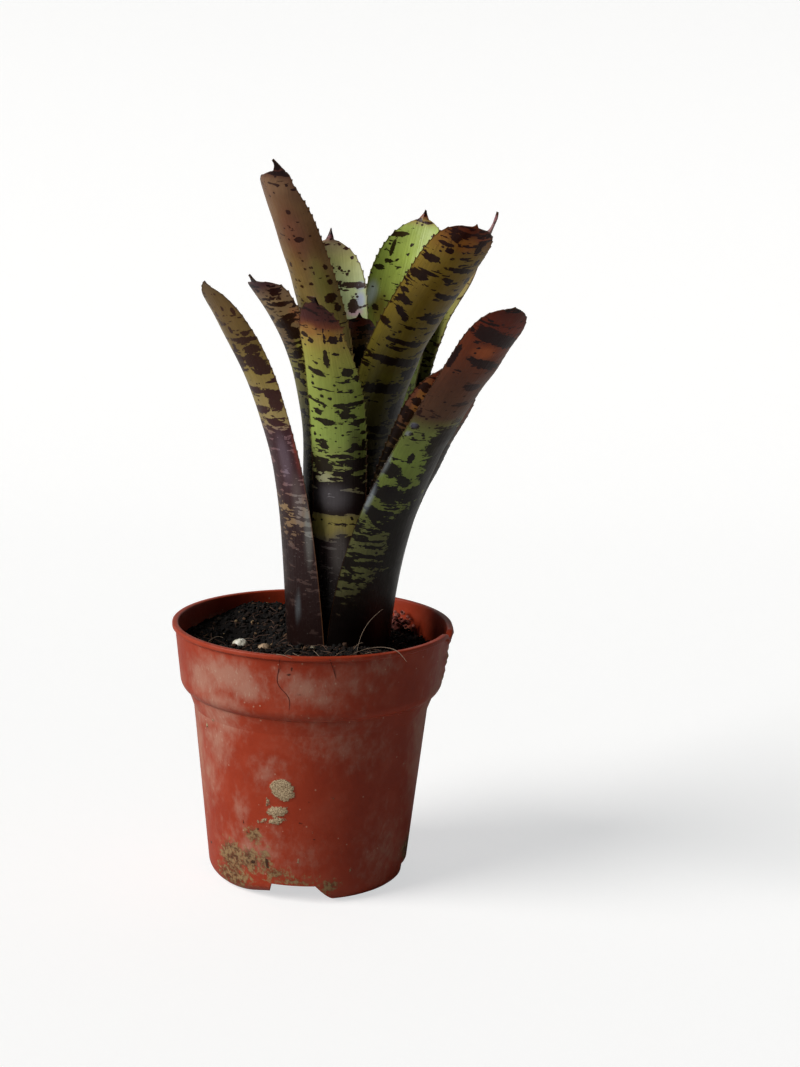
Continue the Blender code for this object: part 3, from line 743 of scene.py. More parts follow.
def leaf_rows(leaf, draw, big_spines):
    """Heights of the rows, and for each how far its spine reaches out and leans forward."""
    spines_from = SPINES_FROM * leaf.length
    rows = [(up, 0.0, 0.0) for up in np.arange(0.0, spines_from, SHEATH_ROW)]
    count = int((leaf.length - leaf.point - spines_from) / SPINE_PITCH)
    pitch = (leaf.length - leaf.point - spines_from) / count
    for index in range(count):
        foot = spines_from + index * pitch
        grown = float(smooth_step((foot - spines_from) / 25.0))
        near_end = float(smooth_step((foot - leaf.length + 24.0) / 12.0))
        reach = SPINE_REACH * HABITS[leaf.name].spines * draw.uniform(0.45, 1.3) * (0.3 + 0.7 * grown)
        reach *= 1.0 + (big_spines - 1.0) * near_end * draw.uniform(0.3, 1.0)
        for share, out, forward in SPINE_SHAPE:
            rows.append((foot + share * pitch, out * reach, forward))
    end = leaf.length - leaf.point
    rows += [(end + leaf.point * share, 0.0, 0.0) for share in (0.0, 0.25, 0.5, 0.75, 1.0)]
    return np.array(rows)


def deep_tone(code):
    """The colour of a marking, darker and a little redder than its code says."""
    return [tone(code, gain)[channel] for channel, gain in enumerate(DARK_GAIN)]


def along_stops(up, heights, colours):
    """The stops' colours, blended one channel at a time to the height of each point."""
    return np.stack([np.interp(up, heights, channel) for channel in zip(*colours)], 1)


def painted(leaf, paint, up, across):
    """Values of the leaf's paint at each point."""
    stops = paint.stops
    heights = [stop.up for stop in stops]
    ground = along_stops(up, heights, [tone(stop.ground)[:3] for stop in stops])
    dark = along_stops(up, heights, [deep_tone(stop.dark) for stop in stops])
    cover = np.interp(up, heights, [stop.cover for stop in stops])
    scales = np.interp(up, heights, [stop.scales for stop in stops])
    inside = (paint.dark_point - (leaf.length - up)) / 2.0
    # Marks are the leaf's own dark marks, and on leaf_right_front also painted shade.
    for mark in paint.marks:
        turn = math.radians(mark.slant)
        along = (across - mark.across) * math.cos(turn) + (up - mark.up) * math.sin(turn)
        over = (up - mark.up) * math.cos(turn) - (across - mark.across) * math.sin(turn)
        reach = np.hypot(along / mark.wide, over / mark.tall)
        inside = np.maximum(inside, 1.15 - reach)
    # Tints are the leaf's own colours, except the painted highlights on leaf_left_outer and leaf_right_front;
    # through is the share laid over the dark tone as well.
    for tint_or_highlight in paint.patches:
        reach = np.hypot((across - tint_or_highlight.across) / tint_or_highlight.wide, (up - tint_or_highlight.up) / tint_or_highlight.tall)
        share = smooth_step(1.35 - reach)[:, None]
        colour = np.array(tone(tint_or_highlight.colour)[:3])
        ground = ground * (1 - share) + colour * share
        dark = dark * (1 - share * tint_or_highlight.through) + colour * share * tint_or_highlight.through
    return ground, dark, cover, scales, np.clip(inside, -1.2, 1.2)


def grow_leaf(leaf, seed):
    paint = PAINT[leaf.name]
    draw = random.Random(seed)
    rows = leaf_rows(leaf, draw, paint.big_spines)
    side = np.sin(np.linspace(-1.0, 1.0, COLUMNS) * 1.2) / math.sin(1.2)
    up = np.repeat(rows[:, :1], COLUMNS, 1)
    sides = np.repeat(side[None, :], len(rows), 0)
    on_edge = (np.abs(side) > 0.999)[None, :]
    beyond = np.where(on_edge, rows[:, 1:2] * np.sign(sides), 0.0)
    ahead = np.where(on_edge, rows[:, 2:3], 0.0)
    thickness = EDGE_THICKNESS + (MIDDLE_THICKNESS - EDGE_THICKNESS) * (1.0 - sides**2)
    free = smooth_step((up - 0.4 * leaf.length) / 30.0)
    wave = np.empty(up.shape)
    for index in np.ndindex(up.shape):
        spot = Vector((up[index] / 16.0, sides[index] * 0.8, seed * 3.7))
        wave[index] = noise.noise(spot) * (0.5 + abs(sides[index]) ** 3)
    wave *= WAVE * free
    grids = []
    for depth in (-wave, thickness - wave):
        grids.append(leaf_surface(leaf, np.minimum(up + ahead, leaf.length), sides, beyond, depth))
    count = len(rows)
    faces = grid_faces(count, COLUMNS) + grid_faces(count, COLUMNS, count * COLUMNS, flip=True)
    faces += [face[::-1] for face in edge_faces(count, COLUMNS)]
    obj = new_mesh("dressed_" + leaf.name, np.stack(grids) * MM, faces, leaf_material)
    heights = up.ravel()
    width = leaf_width(leaf, heights) / 2
    across = sides.ravel() * width
    ground, dark, cover, scales, inside = painted(leaf, paint, heights, across)
    edge = width * (1 - np.abs(sides.ravel()))
    opaque = np.ones((len(heights), 1))
    plan_values = np.stack([across, heights, np.full(len(heights), seed * 40.0)], 1)
    for name, values, kind in (
        ("plan", plan_values, "FLOAT_VECTOR"),
        ("ground", np.hstack([ground, opaque]), "FLOAT_COLOR"),
        ("dark", np.hstack([dark, opaque]), "FLOAT_COLOR"),
        ("mark", inside, "FLOAT"),
        ("cover", cover, "FLOAT"),
        ("scales", scales, "FLOAT"),
        ("edge", edge, "FLOAT"),
    ):
        store(obj.data, name, np.concatenate([values, values]), kind)
    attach(obj, "root")
    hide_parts(leaf.name)
    return len(obj.data.polygons)


print("leaf faces:", sum(grow_leaf(leaf, seed) for seed, leaf in enumerate(LEAVES, 1)))

# %% [markdown]
# The pot is moulded plastic: a plain turned shape with a thin lip, a slightly tapered band, a rounded
# shoulder and an undercut where the body begins. Turning a profile gives all of that. The foot's four
# channels are cut from it afterwards, because their sides are flat.

# %% Turn the pot
RIM_RADIUS = 60.0
POT_HEIGHT = 112.0
LIP_HEIGHT = 1.9
LIP_STANDS_OUT = 1.3
WALL = 1.3
BAND_TAPER = 2.3
SHOULDER_TOP = 88.5
SHOULDER_IN = 5.9
SHOULDER_DEEP = 6.3
BODY_TOP_RADIUS = 51.1
BODY_FOOT_RADIUS = 43.4
FOOT_CORNER = 7.0
INNER_FLOOR = 9.6
POT_STEPS = 320
CHANNELS = 4
CHANNEL_TURN = -93.5
DRAIN_RADIUS = 3.5
DRAIN_FROM_AXIS = 32.0
DRAIN_SIDES = 28
DRAIN_LOW = 6.0
DRAIN_HIGH = 11.0
TEAR_AT = 81.0
TORN_WIDE = 5.0
TORN_FROM = 84.0
LIP_DROP = 2.6
WORN_AT = -20.0
WORN_WIDE = 17.0
WORN_UP_TO = 9.0
WORN_DEPTH = 2.6
MUD_STANDS_OUT = 0.45
OUT_OF_ROUND = 0.25


def arc_points(centre_radius, centre_height, size_radius, size_height, start, end, count):
    """Points of an ellipse's arc from one angle to another, in degrees above the horizontal."""
    turns = np.radians(np.linspace(start, end, count))
    return [
        (centre_radius + size_radius * math.cos(t), centre_height + size_height * math.sin(t)) for t in turns
    ]


def straight(start, end, count):
    return [tuple(np.array(start) + (np.array(end) - start) * i / count) for i in range(count)]


def pot_profile():
    """The pot's section: up its inside from the middle of the floor, over the lip and down outside."""
    band_top = RIM_RADIUS - LIP_STANDS_OUT
    band_low = band_top - BAND_TAPER
    junction = SHOULDER_TOP - SHOULDER_DEEP
    lip_foot = POT_HEIGHT - LIP_HEIGHT
    line = [(0.5, INNER_FLOOR), (BODY_FOOT_RADIUS - WALL - 1.0, INNER_FLOOR)]
    line += straight((BODY_FOOT_RADIUS - WALL, INNER_FLOOR + 1.0), (BODY_TOP_RADIUS - WALL, junction), 6)
    line += straight((band_low - WALL, SHOULDER_TOP), (band_top - WALL, POT_HEIGHT - 0.8), 12)
    line += arc_points(band_top - WALL + 0.6, POT_HEIGHT - 0.6, 0.6, 0.6, 180, 90, 4)
    line += arc_points(RIM_RADIUS - 0.5, POT_HEIGHT - 0.5, 0.5, 0.5, 90, 0, 4)
    line += arc_points(RIM_RADIUS - 0.4, lip_foot + 0.4, 0.4, 0.4, 0, -80, 4)
    line += straight((band_top, lip_foot - 0.5), (band_low, SHOULDER_TOP), 22)
    line += arc_points(band_low - SHOULDER_IN, SHOULDER_TOP, SHOULDER_IN, SHOULDER_DEEP, 0, -90, 12)
    line += [(BODY_TOP_RADIUS - 1.5, junction + 0.1), (BODY_TOP_RADIUS - 1.4, junction - 0.4)]
    line += straight((BODY_TOP_RADIUS, junction - 0.8), (BODY_FOOT_RADIUS, FOOT_CORNER), 62)
    line += arc_points(
        BODY_FOOT_RADIUS - FOOT_CORNER, FOOT_CORNER, FOOT_CORNER, FOOT_CORNER, 0, -90, 9
    )
    line += [(0.5, 0.0)]
    return line


def channel_cutter(index):
    """One of the channels under the foot, steep on one side and sloped on the other."""
    deep, half, steep, sloped, below = 8.1, 13.9, 1.2, 7.8, 4.0
    corners = []
    for high in (False, True):
        for along in (6.0, 52.0):
            for way, slope in ((-1, steep), (1, sloped)):
                reach = half - slope if high else half + slope * below / deep
                corners.append((along, way * reach, deep if high else -below))
    faces = [(0, 1, 3, 2), (4, 6, 7, 5), (0, 4, 5, 1), (2, 3, 7, 6), (0, 2, 6, 4), (1, 5, 7, 3)]
    cutter = new_mesh(f"channel_shape_{index}", np.array(corners) * MM, faces, leaf_material)
    cutter.rotation_euler.z = math.radians(CHANNEL_TURN + 360 / CHANNELS * index)
    bpy.context.view_layer.update()
    cutter.data.transform(cutter.matrix_world)
    cutter.rotation_euler.z = 0.0
    return cutter


def drain_cutter(index):
    """The round drain hole through the floor in one of the channels."""
    turns = np.linspace(0.0, 2 * math.pi, DRAIN_SIDES, endpoint=False)
    turn = math.radians(CHANNEL_TURN + 360 / CHANNELS * index)
    x = DRAIN_FROM_AXIS * math.cos(turn) + DRAIN_RADIUS * np.cos(turns)
    y = DRAIN_FROM_AXIS * math.sin(turn) + DRAIN_RADIUS * np.sin(turns)
    low, high = (np.stack([x, y, np.full(DRAIN_SIDES, z)], 1) for z in (DRAIN_LOW, DRAIN_HIGH))
    faces = [
        (k, (k + 1) % DRAIN_SIDES, (k + 1) % DRAIN_SIDES + DRAIN_SIDES, k + DRAIN_SIDES)
        for k in range(DRAIN_SIDES)
    ]
    faces += [tuple(range(DRAIN_SIDES - 1, -1, -1)), tuple(range(DRAIN_SIDES, 2 * DRAIN_SIDES))]
    return new_mesh(f"drain_shape_{index}", np.vstack([low, high]) * MM, faces, leaf_material)


def cut_by(obj, cutters):
    for cutter in cutters:
        modifier = obj.modifiers.new("Cut", "BOOLEAN")
        modifier.operation = "DIFFERENCE"
        modifier.object = cutter
    mesh = bpy.data.meshes.new_from_object(obj.evaluated_get(bpy.context.evaluated_depsgraph_get()))
    obj.modifiers.clear()
    obj.data = mesh
    for cutter in cutters:
        bpy.data.objects.remove(cutter)


# %% [markdown]
# An old pot is never clean. The real one has a pale haze of dried water over the band, a splash of
# mud on its front with a smear under it, khaki soil at the foot, and dark and pale specks. Each stain
# is an oval with a place on the pot: degrees round from the front and millimetres above the floor.

# %% Stains of the pot
STAIN_AROUND = 47.0
NOT_STAINED = -9.0
Stain = namedtuple("Stain", "turn height wide tall slant strength", defaults=(0, 1.0))


def stain_rows(*rows):
    return [Stain(*row) for row in rows]


HAZE = stain_rows(
    (-38, 100, 15, 8), (-52, 95, 10, 9, 0, 0.8), (-28, 96, 8, 7), (-3, 98, 9, 6), (-9, 103, 5, 3),
    (4, 93, 6, 4), (-42, 88, 11, 5), (-62, 78, 13, 7), (-44, 76, 9, 5, 0, 0.8), (-52, 66, 9, 9, 0, 0.6),
    (-62, 50, 7, 10, 0, 0.6), (14, 74, 13, 7, -25, 0.3), (29, 106, 5, 4, 0, 0.7),
    (-38, 41, 3.4, 5, 0, 0.8), (-21, 59, 5, 4, 20, 0.5), (-75, 60, 8, 30, 0, 0.6),
    (70, 70, 9, 30, 0, 0.5), (14, 100, 8, 4, 0, 0.35), (-30, 22, 14, 6, 0, 0.3), (48, 20, 9, 9, 0, 0.2),
    (140, 90, 18, 12, 0, 0.8), (190, 60, 20, 16, 0, 0.6), (230, 98, 16, 8, 0, 0.8),
)
MUD = stain_rows(
    (-13.6, 52, 5.4, 4.5), (-9.6, 50, 2.6, 2.4), (-13, 47.8, 2.6, 1.4), (-21, 45, 1.1, 2.2),
    (-16, 41.5, 5, 2.6, 10), (-24.5, 36.6, 3.4, 0.8, 18), (-17, 37, 4.6, 1.4, 14), (1, 80, 1.5, 0.8, -20),
    (2.8, 78.8, 0.9, 1.1), (24, 14.5, 0.8, 1.7), (-53.5, 76, 0.8, 2), (-60, 72, 1, 1.2),
    (-5, 19.5, 0.6, 1.1), (11.5, 49, 0.5, 1.4, 20), (-12, 20, 0.7, 0.6), (2, 33, 0.4, 0.4),
    (150, 40, 5, 3), (158, 36, 3, 4),
)
KHAKI = stain_rows(
    (-46, 16, 9, 8), (-33, 17, 6, 6), (-30, 29, 4, 4), (-24, 18, 3.4, 6.4), (-18, 13, 6, 3.2),
    (-8, 10.4, 9, 1.8), (13, 8, 5, 2.8), (-48, 7, 13, 5), (-70, 80, 5, 3), (84, 96, 4, 12),
    (80, 80, 3, 12), (170, 10, 14, 6), (75, 14, 8, 6),
)
SPECKS = stain_rows(
    (-31, 16.6, 1.3, 1), (-22.4, 17.5, 0.9, 3.2, 8), (-36, 34, 0.7, 0.9), (-27, 32.3, 0.8, 0.6),
    (-34, 29.4, 0.8, 0.7), (-39, 79.4, 0.5, 1.2), (-37.6, 78.4, 0.5, 1), (-48, 8, 0.9, 0.5),
    (-42, 9.6, 0.7, 0.5), (-70, 16.5, 2, 0.7, 15), (-5, 95.6, 0.8, 0.6), (-9, 104, 1.1, 0.6, 20),
    (-8, 106.5, 0.5, 1.4), (-16, 78.3, 0.6, 0.4), (0, 47, 0.9, 0.6), (-4, 37, 2.6, 0.5, -32),
    (4, 29.5, 2.4, 0.45, -28), (-21, 44.6, 0.5, 2.2, -10),
)


def stain_depth(stains, turns, heights):
    """How far inside the nearest oval each point is, in millimetres, times the oval's strength."""
    depth = np.full(len(turns), NOT_STAINED)
    for stain in stains:
        away = (turns - math.radians(stain.turn) + math.pi) % (2 * math.pi) - math.pi
        slant = math.radians(stain.slant)
        aside, above = away * STAIN_AROUND, heights - stain.height
        along = aside * math.cos(slant) + above * math.sin(slant)
        over = above * math.cos(slant) - aside * math.sin(slant)
        reach = np.hypot(along / stain.wide, over / stain.tall)
        depth = np.maximum(depth, (1.0 - reach) * min(stain.wide, stain.tall) * stain.strength)
    return depth


def flexed(turn, height):
    """How far the wall stands out of round, more so towards the rim."""
    return OUT_OF_ROUND * np.sin(2 * turn + 0.6) * smooth_step((height - 60.0) / 50.0)


def shape_pot():
    """Points of the turned pot, with its mud standing proud and its rim torn at one side."""
    profile = np.array(pot_profile())
    turns = np.linspace(0.0, 2 * math.pi, POT_STEPS, endpoint=False)
    radius = np.repeat(profile[:, :1], POT_STEPS, 1)
    height = np.repeat(profile[:, 1:], POT_STEPS, 1)
    turn = np.repeat(turns[None, :], len(profile), 0)
    outside = np.zeros(radius.shape, bool)
    outside[np.argmax(profile[:, 1]) :] = True
    mud = stain_depth(MUD, turn.ravel() + math.pi / 2, height.ravel()).reshape(radius.shape)
    radius += np.where(outside & (radius > 40), MUD_STANDS_OUT * smooth_step((mud + 0.2) / 1.2), 0.0)
    off_tear = (np.degrees(turn) + 90.0 - TEAR_AT + 180.0) % 360.0 - 180.0
    worn = np.exp(-(((off_tear + TEAR_AT - WORN_AT) / WORN_WIDE) ** 2))
    worn *= smooth_step((WORN_UP_TO - height) / WORN_UP_TO)
    height += np.where(outside, WORN_DEPTH * worn, 0.0)
    torn = np.exp(-((off_tear / TORN_WIDE) ** 2)) * smooth_step((height - TORN_FROM) / 14.0)
    ragged = np.sin(height * 1.9) + np.sin(height * 0.83 + 1.0)
    radius += torn * (1.0 + 0.25 * ragged)
    lip_drop = np.exp(-(((off_tear + 5.0) / 2.2) ** 2)) * smooth_step((height - 106.0) / 5.0)
    height -= LIP_DROP * lip_drop
    radius += np.where(radius > 40, flexed(turn, height), 0.0)
    return np.stack([radius * np.cos(turn), radius * np.sin(turn), height], 2)


pot_points = shape_pot()
pot_rows = len(pot_points)
pot_faces = grid_faces(pot_rows, POT_STEPS, flip=True, wrap=True)
pot_faces.append(tuple(range(POT_STEPS)))
pot_faces.append(tuple(range(pot_rows * POT_STEPS - 1, (pot_rows - 1) * POT_STEPS - 1, -1)))
pot = new_mesh("nursery_pot", pot_points * MM, pot_faces, leaf_material)
cut_by(pot, [channel_cutter(index) for index in range(CHANNELS)])
cut_by(pot, [drain_cutter(index) for index in range(CHANNELS)])
print("pot faces:", len(pot.data.polygons))

# %% [markdown]
# The plastic itself is a warm brick red with a satin face. The stains are laid over it in the order in
# which they happened: haze, then soil, then mud, then specks, each with edges frayed by noise.

# %% Pot material
pot_material, tree, shader = new_material("terracotta_plastic")
where = read(tree, "plan", "Vector")
wide_noise = grain(tree, where, 0.07, 4.0)
ragged_noise = grain(tree, where, 0.5, 5.0, 0.65)
tiny_noise = grain(tree, where, 2.4, 3.0)
fray = maths(tree, "SUBTRACT", ragged_noise, 0.5)
plastic = blend(tree, wide_noise, tone("8c2b15"), tone("aa4024"))
brushed = grain(tree, stretched(tree, where, 1.0, 1.0, 0.75), 0.26, 4.0, 0.6)
haze_inside = maths(tree, "MULTIPLY_ADD", maths(tree, "SUBTRACT", brushed, 0.5), 12.0, read(tree, "haze"))
haze_mask = maths(tree, "MULTIPLY", step_mask(tree, haze_inside, -3.0, 6.5), 0.5)
scuffs = step_mask(tree, grain(tree, stretched(tree, where, 1.0, 1.0, 0.4), 0.9, 3.0), 0.6, 0.68)
scuffed = maths(tree, "MULTIPLY", scuffs, haze_mask)
haze_mask = maths(tree, "MULTIPLY_ADD", scuffed, 0.7, haze_mask, clamp=True)
haze_grain = maths(tree, "MULTIPLY_ADD", tiny_noise, 0.25, 0.87)
haze_mask = maths(tree, "MULTIPLY", haze_mask, haze_grain, clamp=True)
colour = blend(tree, haze_mask, plastic, tone("bc9c88"))
film = maths(tree, "MULTIPLY", step_mask(tree, wide_noise, 0.5, 0.72), 0.04)
colour = blend(tree, film, colour, tone("b59c8c"))
khaki_inside = maths(tree, "MULTIPLY_ADD", fray, 15.0, read(tree, "khaki"))
khaki_mask = maths(tree, "MULTIPLY", step_mask(tree, khaki_inside, -0.8, 2.2), 0.9)
khaki_mask = maths(tree, "MULTIPLY", khaki_mask, step_mask(tree, tiny_noise, 0.2, 0.5))
khaki = blend(tree, step_mask(tree, ragged_noise, 0.4, 0.62), tone("40301e"), tone("907c56"))
colour = blend(tree, khaki_mask, colour, khaki)
mud_inside = maths(tree, "MULTIPLY_ADD", fray, 3.4, read(tree, "mud"))
mud_mask = step_mask(tree, mud_inside, 0.0, 0.5)
clay = blend(tree, step_mask(tree, tiny_noise, 0.36, 0.62), tone("6e563c"), tone("c6b08e"))
colour = blend(tree, mud_mask, colour, clay)
speck_inside = maths(tree, "MULTIPLY_ADD", fray, 1.2, read(tree, "speck"))
speck_mask = maths(tree, "MULTIPLY", step_mask(tree, speck_inside, -0.05, 0.25), 0.85)
colour = blend(tree, speck_mask, colour, tone("2c140c"))
dust = place(tree, "TexVoronoi", {"Vector": where, "Scale": 0.3})
dust_pick = step_mask(tree, random_part(tree, dust), 0.72, 0.76)
dust_spot = maths(tree, "MULTIPLY", step_mask(tree, dust.outputs["Distance"], 0.14, 0.08), dust_pick)
colour = blend(tree, maths(tree, "MULTIPLY", dust_spot, 0.45), colour, tone("c4a48c"))
tree.links.new(colour, shader.inputs["Base Color"])
dirt = maths(tree, "MAXIMUM", mud_mask, maths(tree, "MAXIMUM", khaki_mask, haze_mask))
tree.links.new(maths(tree, "MULTIPLY_ADD", dirt, 0.38, 0.42), shader.inputs["Roughness"])
shader.inputs["Specular IOR Level"].default_value = 0.2
height = maths(tree, "MULTIPLY_ADD", mud_mask, ragged_noise, relief(tree, where, 0.25, 0.05))
bumped(tree, shader, height, 0.5 * MM)

spots = np.array([v.co for v in pot.data.vertices]) / MM
turns = np.arctan2(spots[:, 1], spots[:, 0]) + math.pi / 2
store(pot.data, "plan", spots, "FLOAT_VECTOR")
wall_middle = np.interp(spots[:, 2], (0, 82, 83, 112), (30, 50.3, 50, 58.2))
faces_out = np.hypot(spots[:, 0], spots[:, 1]) > wall_middle
for name, stains in (("haze", HAZE), ("mud", MUD), ("khaki", KHAKI), ("speck", SPECKS)):
    store(pot.data, name, np.where(faces_out, stain_depth(stains, turns, spots[:, 2]), NOT_STAINED))
pot.data.materials.clear()
pot.data.materials.append(pot_material)
pot.data.shade_smooth()
pot.data.set_sharp_from_angle(angle=math.radians(40))
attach(pot, "root")
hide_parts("pot")
print("pot material:", len(tree.nodes), "nodes")

# %% [markdown]
# Two cracks run down the band from the lip. A crack is thinner than the pot's own grid, so each is a
# thin dark thread that lies half sunk in the plastic, along points placed round the band.

# %% Cracks
CRACKS = (
    ((-12.4, 111.0), (-13.2, 106.0), (-14.2, 101.0), (-12.8, 98.0), (-9.4, 94.8), (-8.6, 91.8), (-9.0, 88.6)),
    ((6.8, 111.2), (8.6, 107.0), (9.8, 102.6)),
)
CRACK_RADIUS = 0.17


def strand(curve, points, radius, taper=0.4):
    """Adds a smooth thread through points, in metres, thinner towards its ends."""
    spline = curve.splines.new("NURBS")
    spline.points.add(len(points) - 1)
    for index, (target, point) in enumerate(zip(spline.points, points)):
        target.co = (*point, 1.0)
        inner = math.sin(math.pi * (index + 0.5) / len(points))
        target.radius = radius * (taper + (1 - taper) * inner)
    spline.use_endpoint_u = True
    spline.order_u = 3
    spline.resolution_u = 4


def thread_object(name, material):
    curve = bpy.data.curves.new(name, "CURVE")
    curve.dimensions = "3D"
    curve.bevel_depth = 1.0
    curve.bevel_resolution = 1
    curve.use_fill_caps = True
    curve.materials.append(material)
    obj = bpy.data.objects.new(name, curve)
    scene.collection.objects.link(obj)
    return obj


def band_radius(height):
    share = (height - SHOULDER_TOP) / (POT_HEIGHT - LIP_HEIGHT - 0.5 - SHOULDER_TOP)
    return RIM_RADIUS - LIP_STANDS_OUT - BAND_TAPER * (1.0 - share)


crack_material, tree, shader = new_material("crack_shadow")
shader.inputs["Base Color"].default_value = tone("4c160a")
shader.inputs["Roughness"].default_value = 0.9
cracks = thread_object("band_cracks", crack_material)
for crack in CRACKS:
    places = []
    for turn, high in crack:
        around = math.radians(turn - 90)
        over_lip = LIP_STANDS_OUT if high > POT_HEIGHT - LIP_HEIGHT else 0.0
        radius = band_radius(high) + float(flexed(around, high)) + over_lip
        places.append(Vector((radius * math.cos(around), radius * math.sin(around), high)) * MM)
    strand(cracks.data, places, CRACK_RADIUS * MM, 0.3)
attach(cracks, "root")
print("cracks:", len(cracks.data.splines))

# %% [markdown]
# The potting mix is banked up at the front, hollow at the left and slipped down at the right, as the
# frame's soil is. Its top is one fine crumbly sheet, and thousands of separate crumbs lie on it, since
# it is their shadows that make soil look like soil. The mix is dark in itself, and the sheet and the
# crumbs are coloured darker still, near black, as painted shade over the soil.

# %% Soil
SOIL_LEVEL = 104.0
SOIL_CRUMB = 1.1
SOIL_GAP = 0.15
SOIL_RINGS = 60
SOIL_STEPS = 220
SOIL_SIDE_DOWN_TO = 90.0


def soil_height(x, y):
    front = 5.0 * float(smooth_step((-y - 14.0) / 22.0)) * float(smooth_step((52.0 - x) / 40.0))
    hollow = -10.0 * math.exp(-(((x + 31.0) / 15.0) ** 2) - ((y - 6.0) / 19.0) ** 2)
    back_left = 3.5 * math.exp(-(((x + 24.0) / 20.0) ** 2) - ((y - 46.0) / 10.0) ** 2)
    right = -6.0 * float(smooth_step((x - 24.0) / 24.0)) * float(smooth_step((y + 40.0) / 30.0))
    spot = Vector((x / 5.0, y / 5.0, 0.0))
    crumbs = noise.noise(spot) + 0.6 * noise.noise(spot * 2.3)
    fine = 0.55 * noise.noise(spot * 5.5) + 0.35 * noise.noise(spot * 11.0)
    return SOIL_LEVEL + front + hollow + back_left + right + crumbs * SOIL_CRUMB + fine


def inner_radius(height):
    drawn_in = (POT_HEIGHT - height) * BAND_TAPER / (POT_HEIGHT - SHOULDER_TOP)
    return RIM_RADIUS - LIP_STANDS_OUT - WALL - drawn_in


def soil_points():
    edge = inner_radius(SOIL_LEVEL) - SOIL_GAP
    rows = []
    for ring in range(SOIL_RINGS):
        radius = edge * ring / (SOIL_RINGS - 1) + 0.2 * (ring == 0)
        row = []
        for step in range(SOIL_STEPS):
            turn = 2 * math.pi * step / SOIL_STEPS
            x, y = radius * math.cos(turn), radius * math.sin(turn)
            row.append((x, y, soil_height(x, y)))
        rows.append(row)
    last = rows[-1]
    for index, (x, y, z) in enumerate(last):
        fitted = (inner_radius(z) - SOIL_GAP) / edge
        last[index] = (x * fitted, y * fitted, z)
    fitted = (inner_radius(SOIL_SIDE_DOWN_TO) - SOIL_GAP) / edge
    rows.append([(x * fitted, y * fitted, SOIL_SIDE_DOWN_TO) for x, y, z in last])
    rows.append([(x * 0.01, y * 0.01, SOIL_SIDE_DOWN_TO) for x, y, z in last])
    return np.array(rows)


shaded_soil_material, tree, shader = new_material("potting_mix")
where = place(tree, "TexCoord").outputs["Object"]
clods = grain(tree, where, 220.0, 5.0, 0.7)
dust_grain = grain(tree, where, 900.0, 3.0)
# Near black: the mix's own dark brown with painted shade over it.
colour = blend(tree, clods, tone("030202"), tone("150e0b"))
colour = blend(tree, step_mask(tree, dust_grain, 0.66, 0.8), colour, tone("3a2a1e"))
tree.links.new(colour, shader.inputs["Base Color"])
shader.inputs["Roughness"].default_value = 0.95
shader.inputs["Specular IOR Level"].default_value = 0.25
bumped(tree, shader, maths(tree, "ADD", clods, maths(tree, "MULTIPLY", dust_grain, 0.4)), 0.8 * MM)

soil_grid = soil_points()
soil_faces = grid_faces(len(soil_grid), SOIL_STEPS, wrap=True)
soil_faces.append(tuple(range(SOIL_STEPS - 1, -1, -1)))
soil_faces.append(tuple(range((len(soil_grid) - 1) * SOIL_STEPS, len(soil_grid) * SOIL_STEPS)))
soil = new_mesh("potting_mix_bed", soil_grid * MM, [face[::-1] for face in soil_faces], shaded_soil_material)
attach(soil, "root")
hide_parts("soil")
print("soil faces:", len(soil.data.polygons))

# %% [markdown]
# Crumbs, bark bits and grit are all the same thing at different sizes: a rough pebble. A twenty-sided
# ball whose corners are moved at random is rough enough at a millimetre or two across. Every crumb keeps
# a shade of its own, stored on its points, and all of a kind share one mesh.

# %% Crumbs
GOLDEN = (1 + math.sqrt(5)) / 2
BALL = np.array(
    [(s, t * GOLDEN, 0) for s in (-1, 1) for t in (-1, 1)]
    + [(0, s, t * GOLDEN) for s in (-1, 1) for t in (-1, 1)]
    + [(s * GOLDEN, 0, t) for s in (-1, 1) for t in (-1, 1)],
    float,
)
BALL /= np.linalg.norm(BALL[0])
PLANT_CLEAR = 19.0
# The crumbs' tones are darker than the crumbs themselves, as painted shade over the soil.
SHADED_CRUMB_TONES = ((0.0, "030202"), (0.65, "0e0906"), (0.9, "24160e"), (0.98, "4c3626"), (1.0, "8c7454"))
CRUMB_COUNT = 5200
BARK_COUNT = 240


def ball_faces():
    """The twenty triangles between corners that are nearest neighbours."""
    near = np.linalg.norm(BALL[:, None] - BALL[None, :], axis=2) < 1.2
    faces = []
    for a in range(12):
        for b in range(a + 1, 12):
            for c in range(b + 1, 12):
                if near[a, b] and near[b, c] and near[a, c]:
                    outward = np.dot(np.cross(BALL[b] - BALL[a], BALL[c] - BALL[a]), BALL[a]) > 0
                    faces.append((a, b, c) if outward else (a, c, b))
    return faces


def rubble(name, bits, material, seed):
    """One mesh of rough pebbles: each bit is a place, three half sizes and a shade, in millimetres."""
    draw = np.random.default_rng(seed)
    triangles = np.array(ball_faces())
    points, faces, shades = [], [], []
    for index, (place_at, sizes, shade) in enumerate(bits):
        lumpy = BALL * draw.uniform(0.72, 1.15, (12, 1)) * np.array(sizes)
        spun = Matrix.Rotation(draw.uniform(0, 6.3), 3, "Z")
        turn = spun @ Matrix.Rotation(draw.uniform(-0.6, 0.6), 3, "X")
        points.append(lumpy @ np.array(turn).T + np.array(place_at))
        faces.append(triangles + 12 * index)
        shades.append(np.full(12, shade))
    obj = new_mesh(name, np.concatenate(points) * MM, np.concatenate(faces).tolist(), material)
    obj.data.shade_flat()
    store(obj.data, "shade", np.concatenate(shades))
    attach(obj, "root")


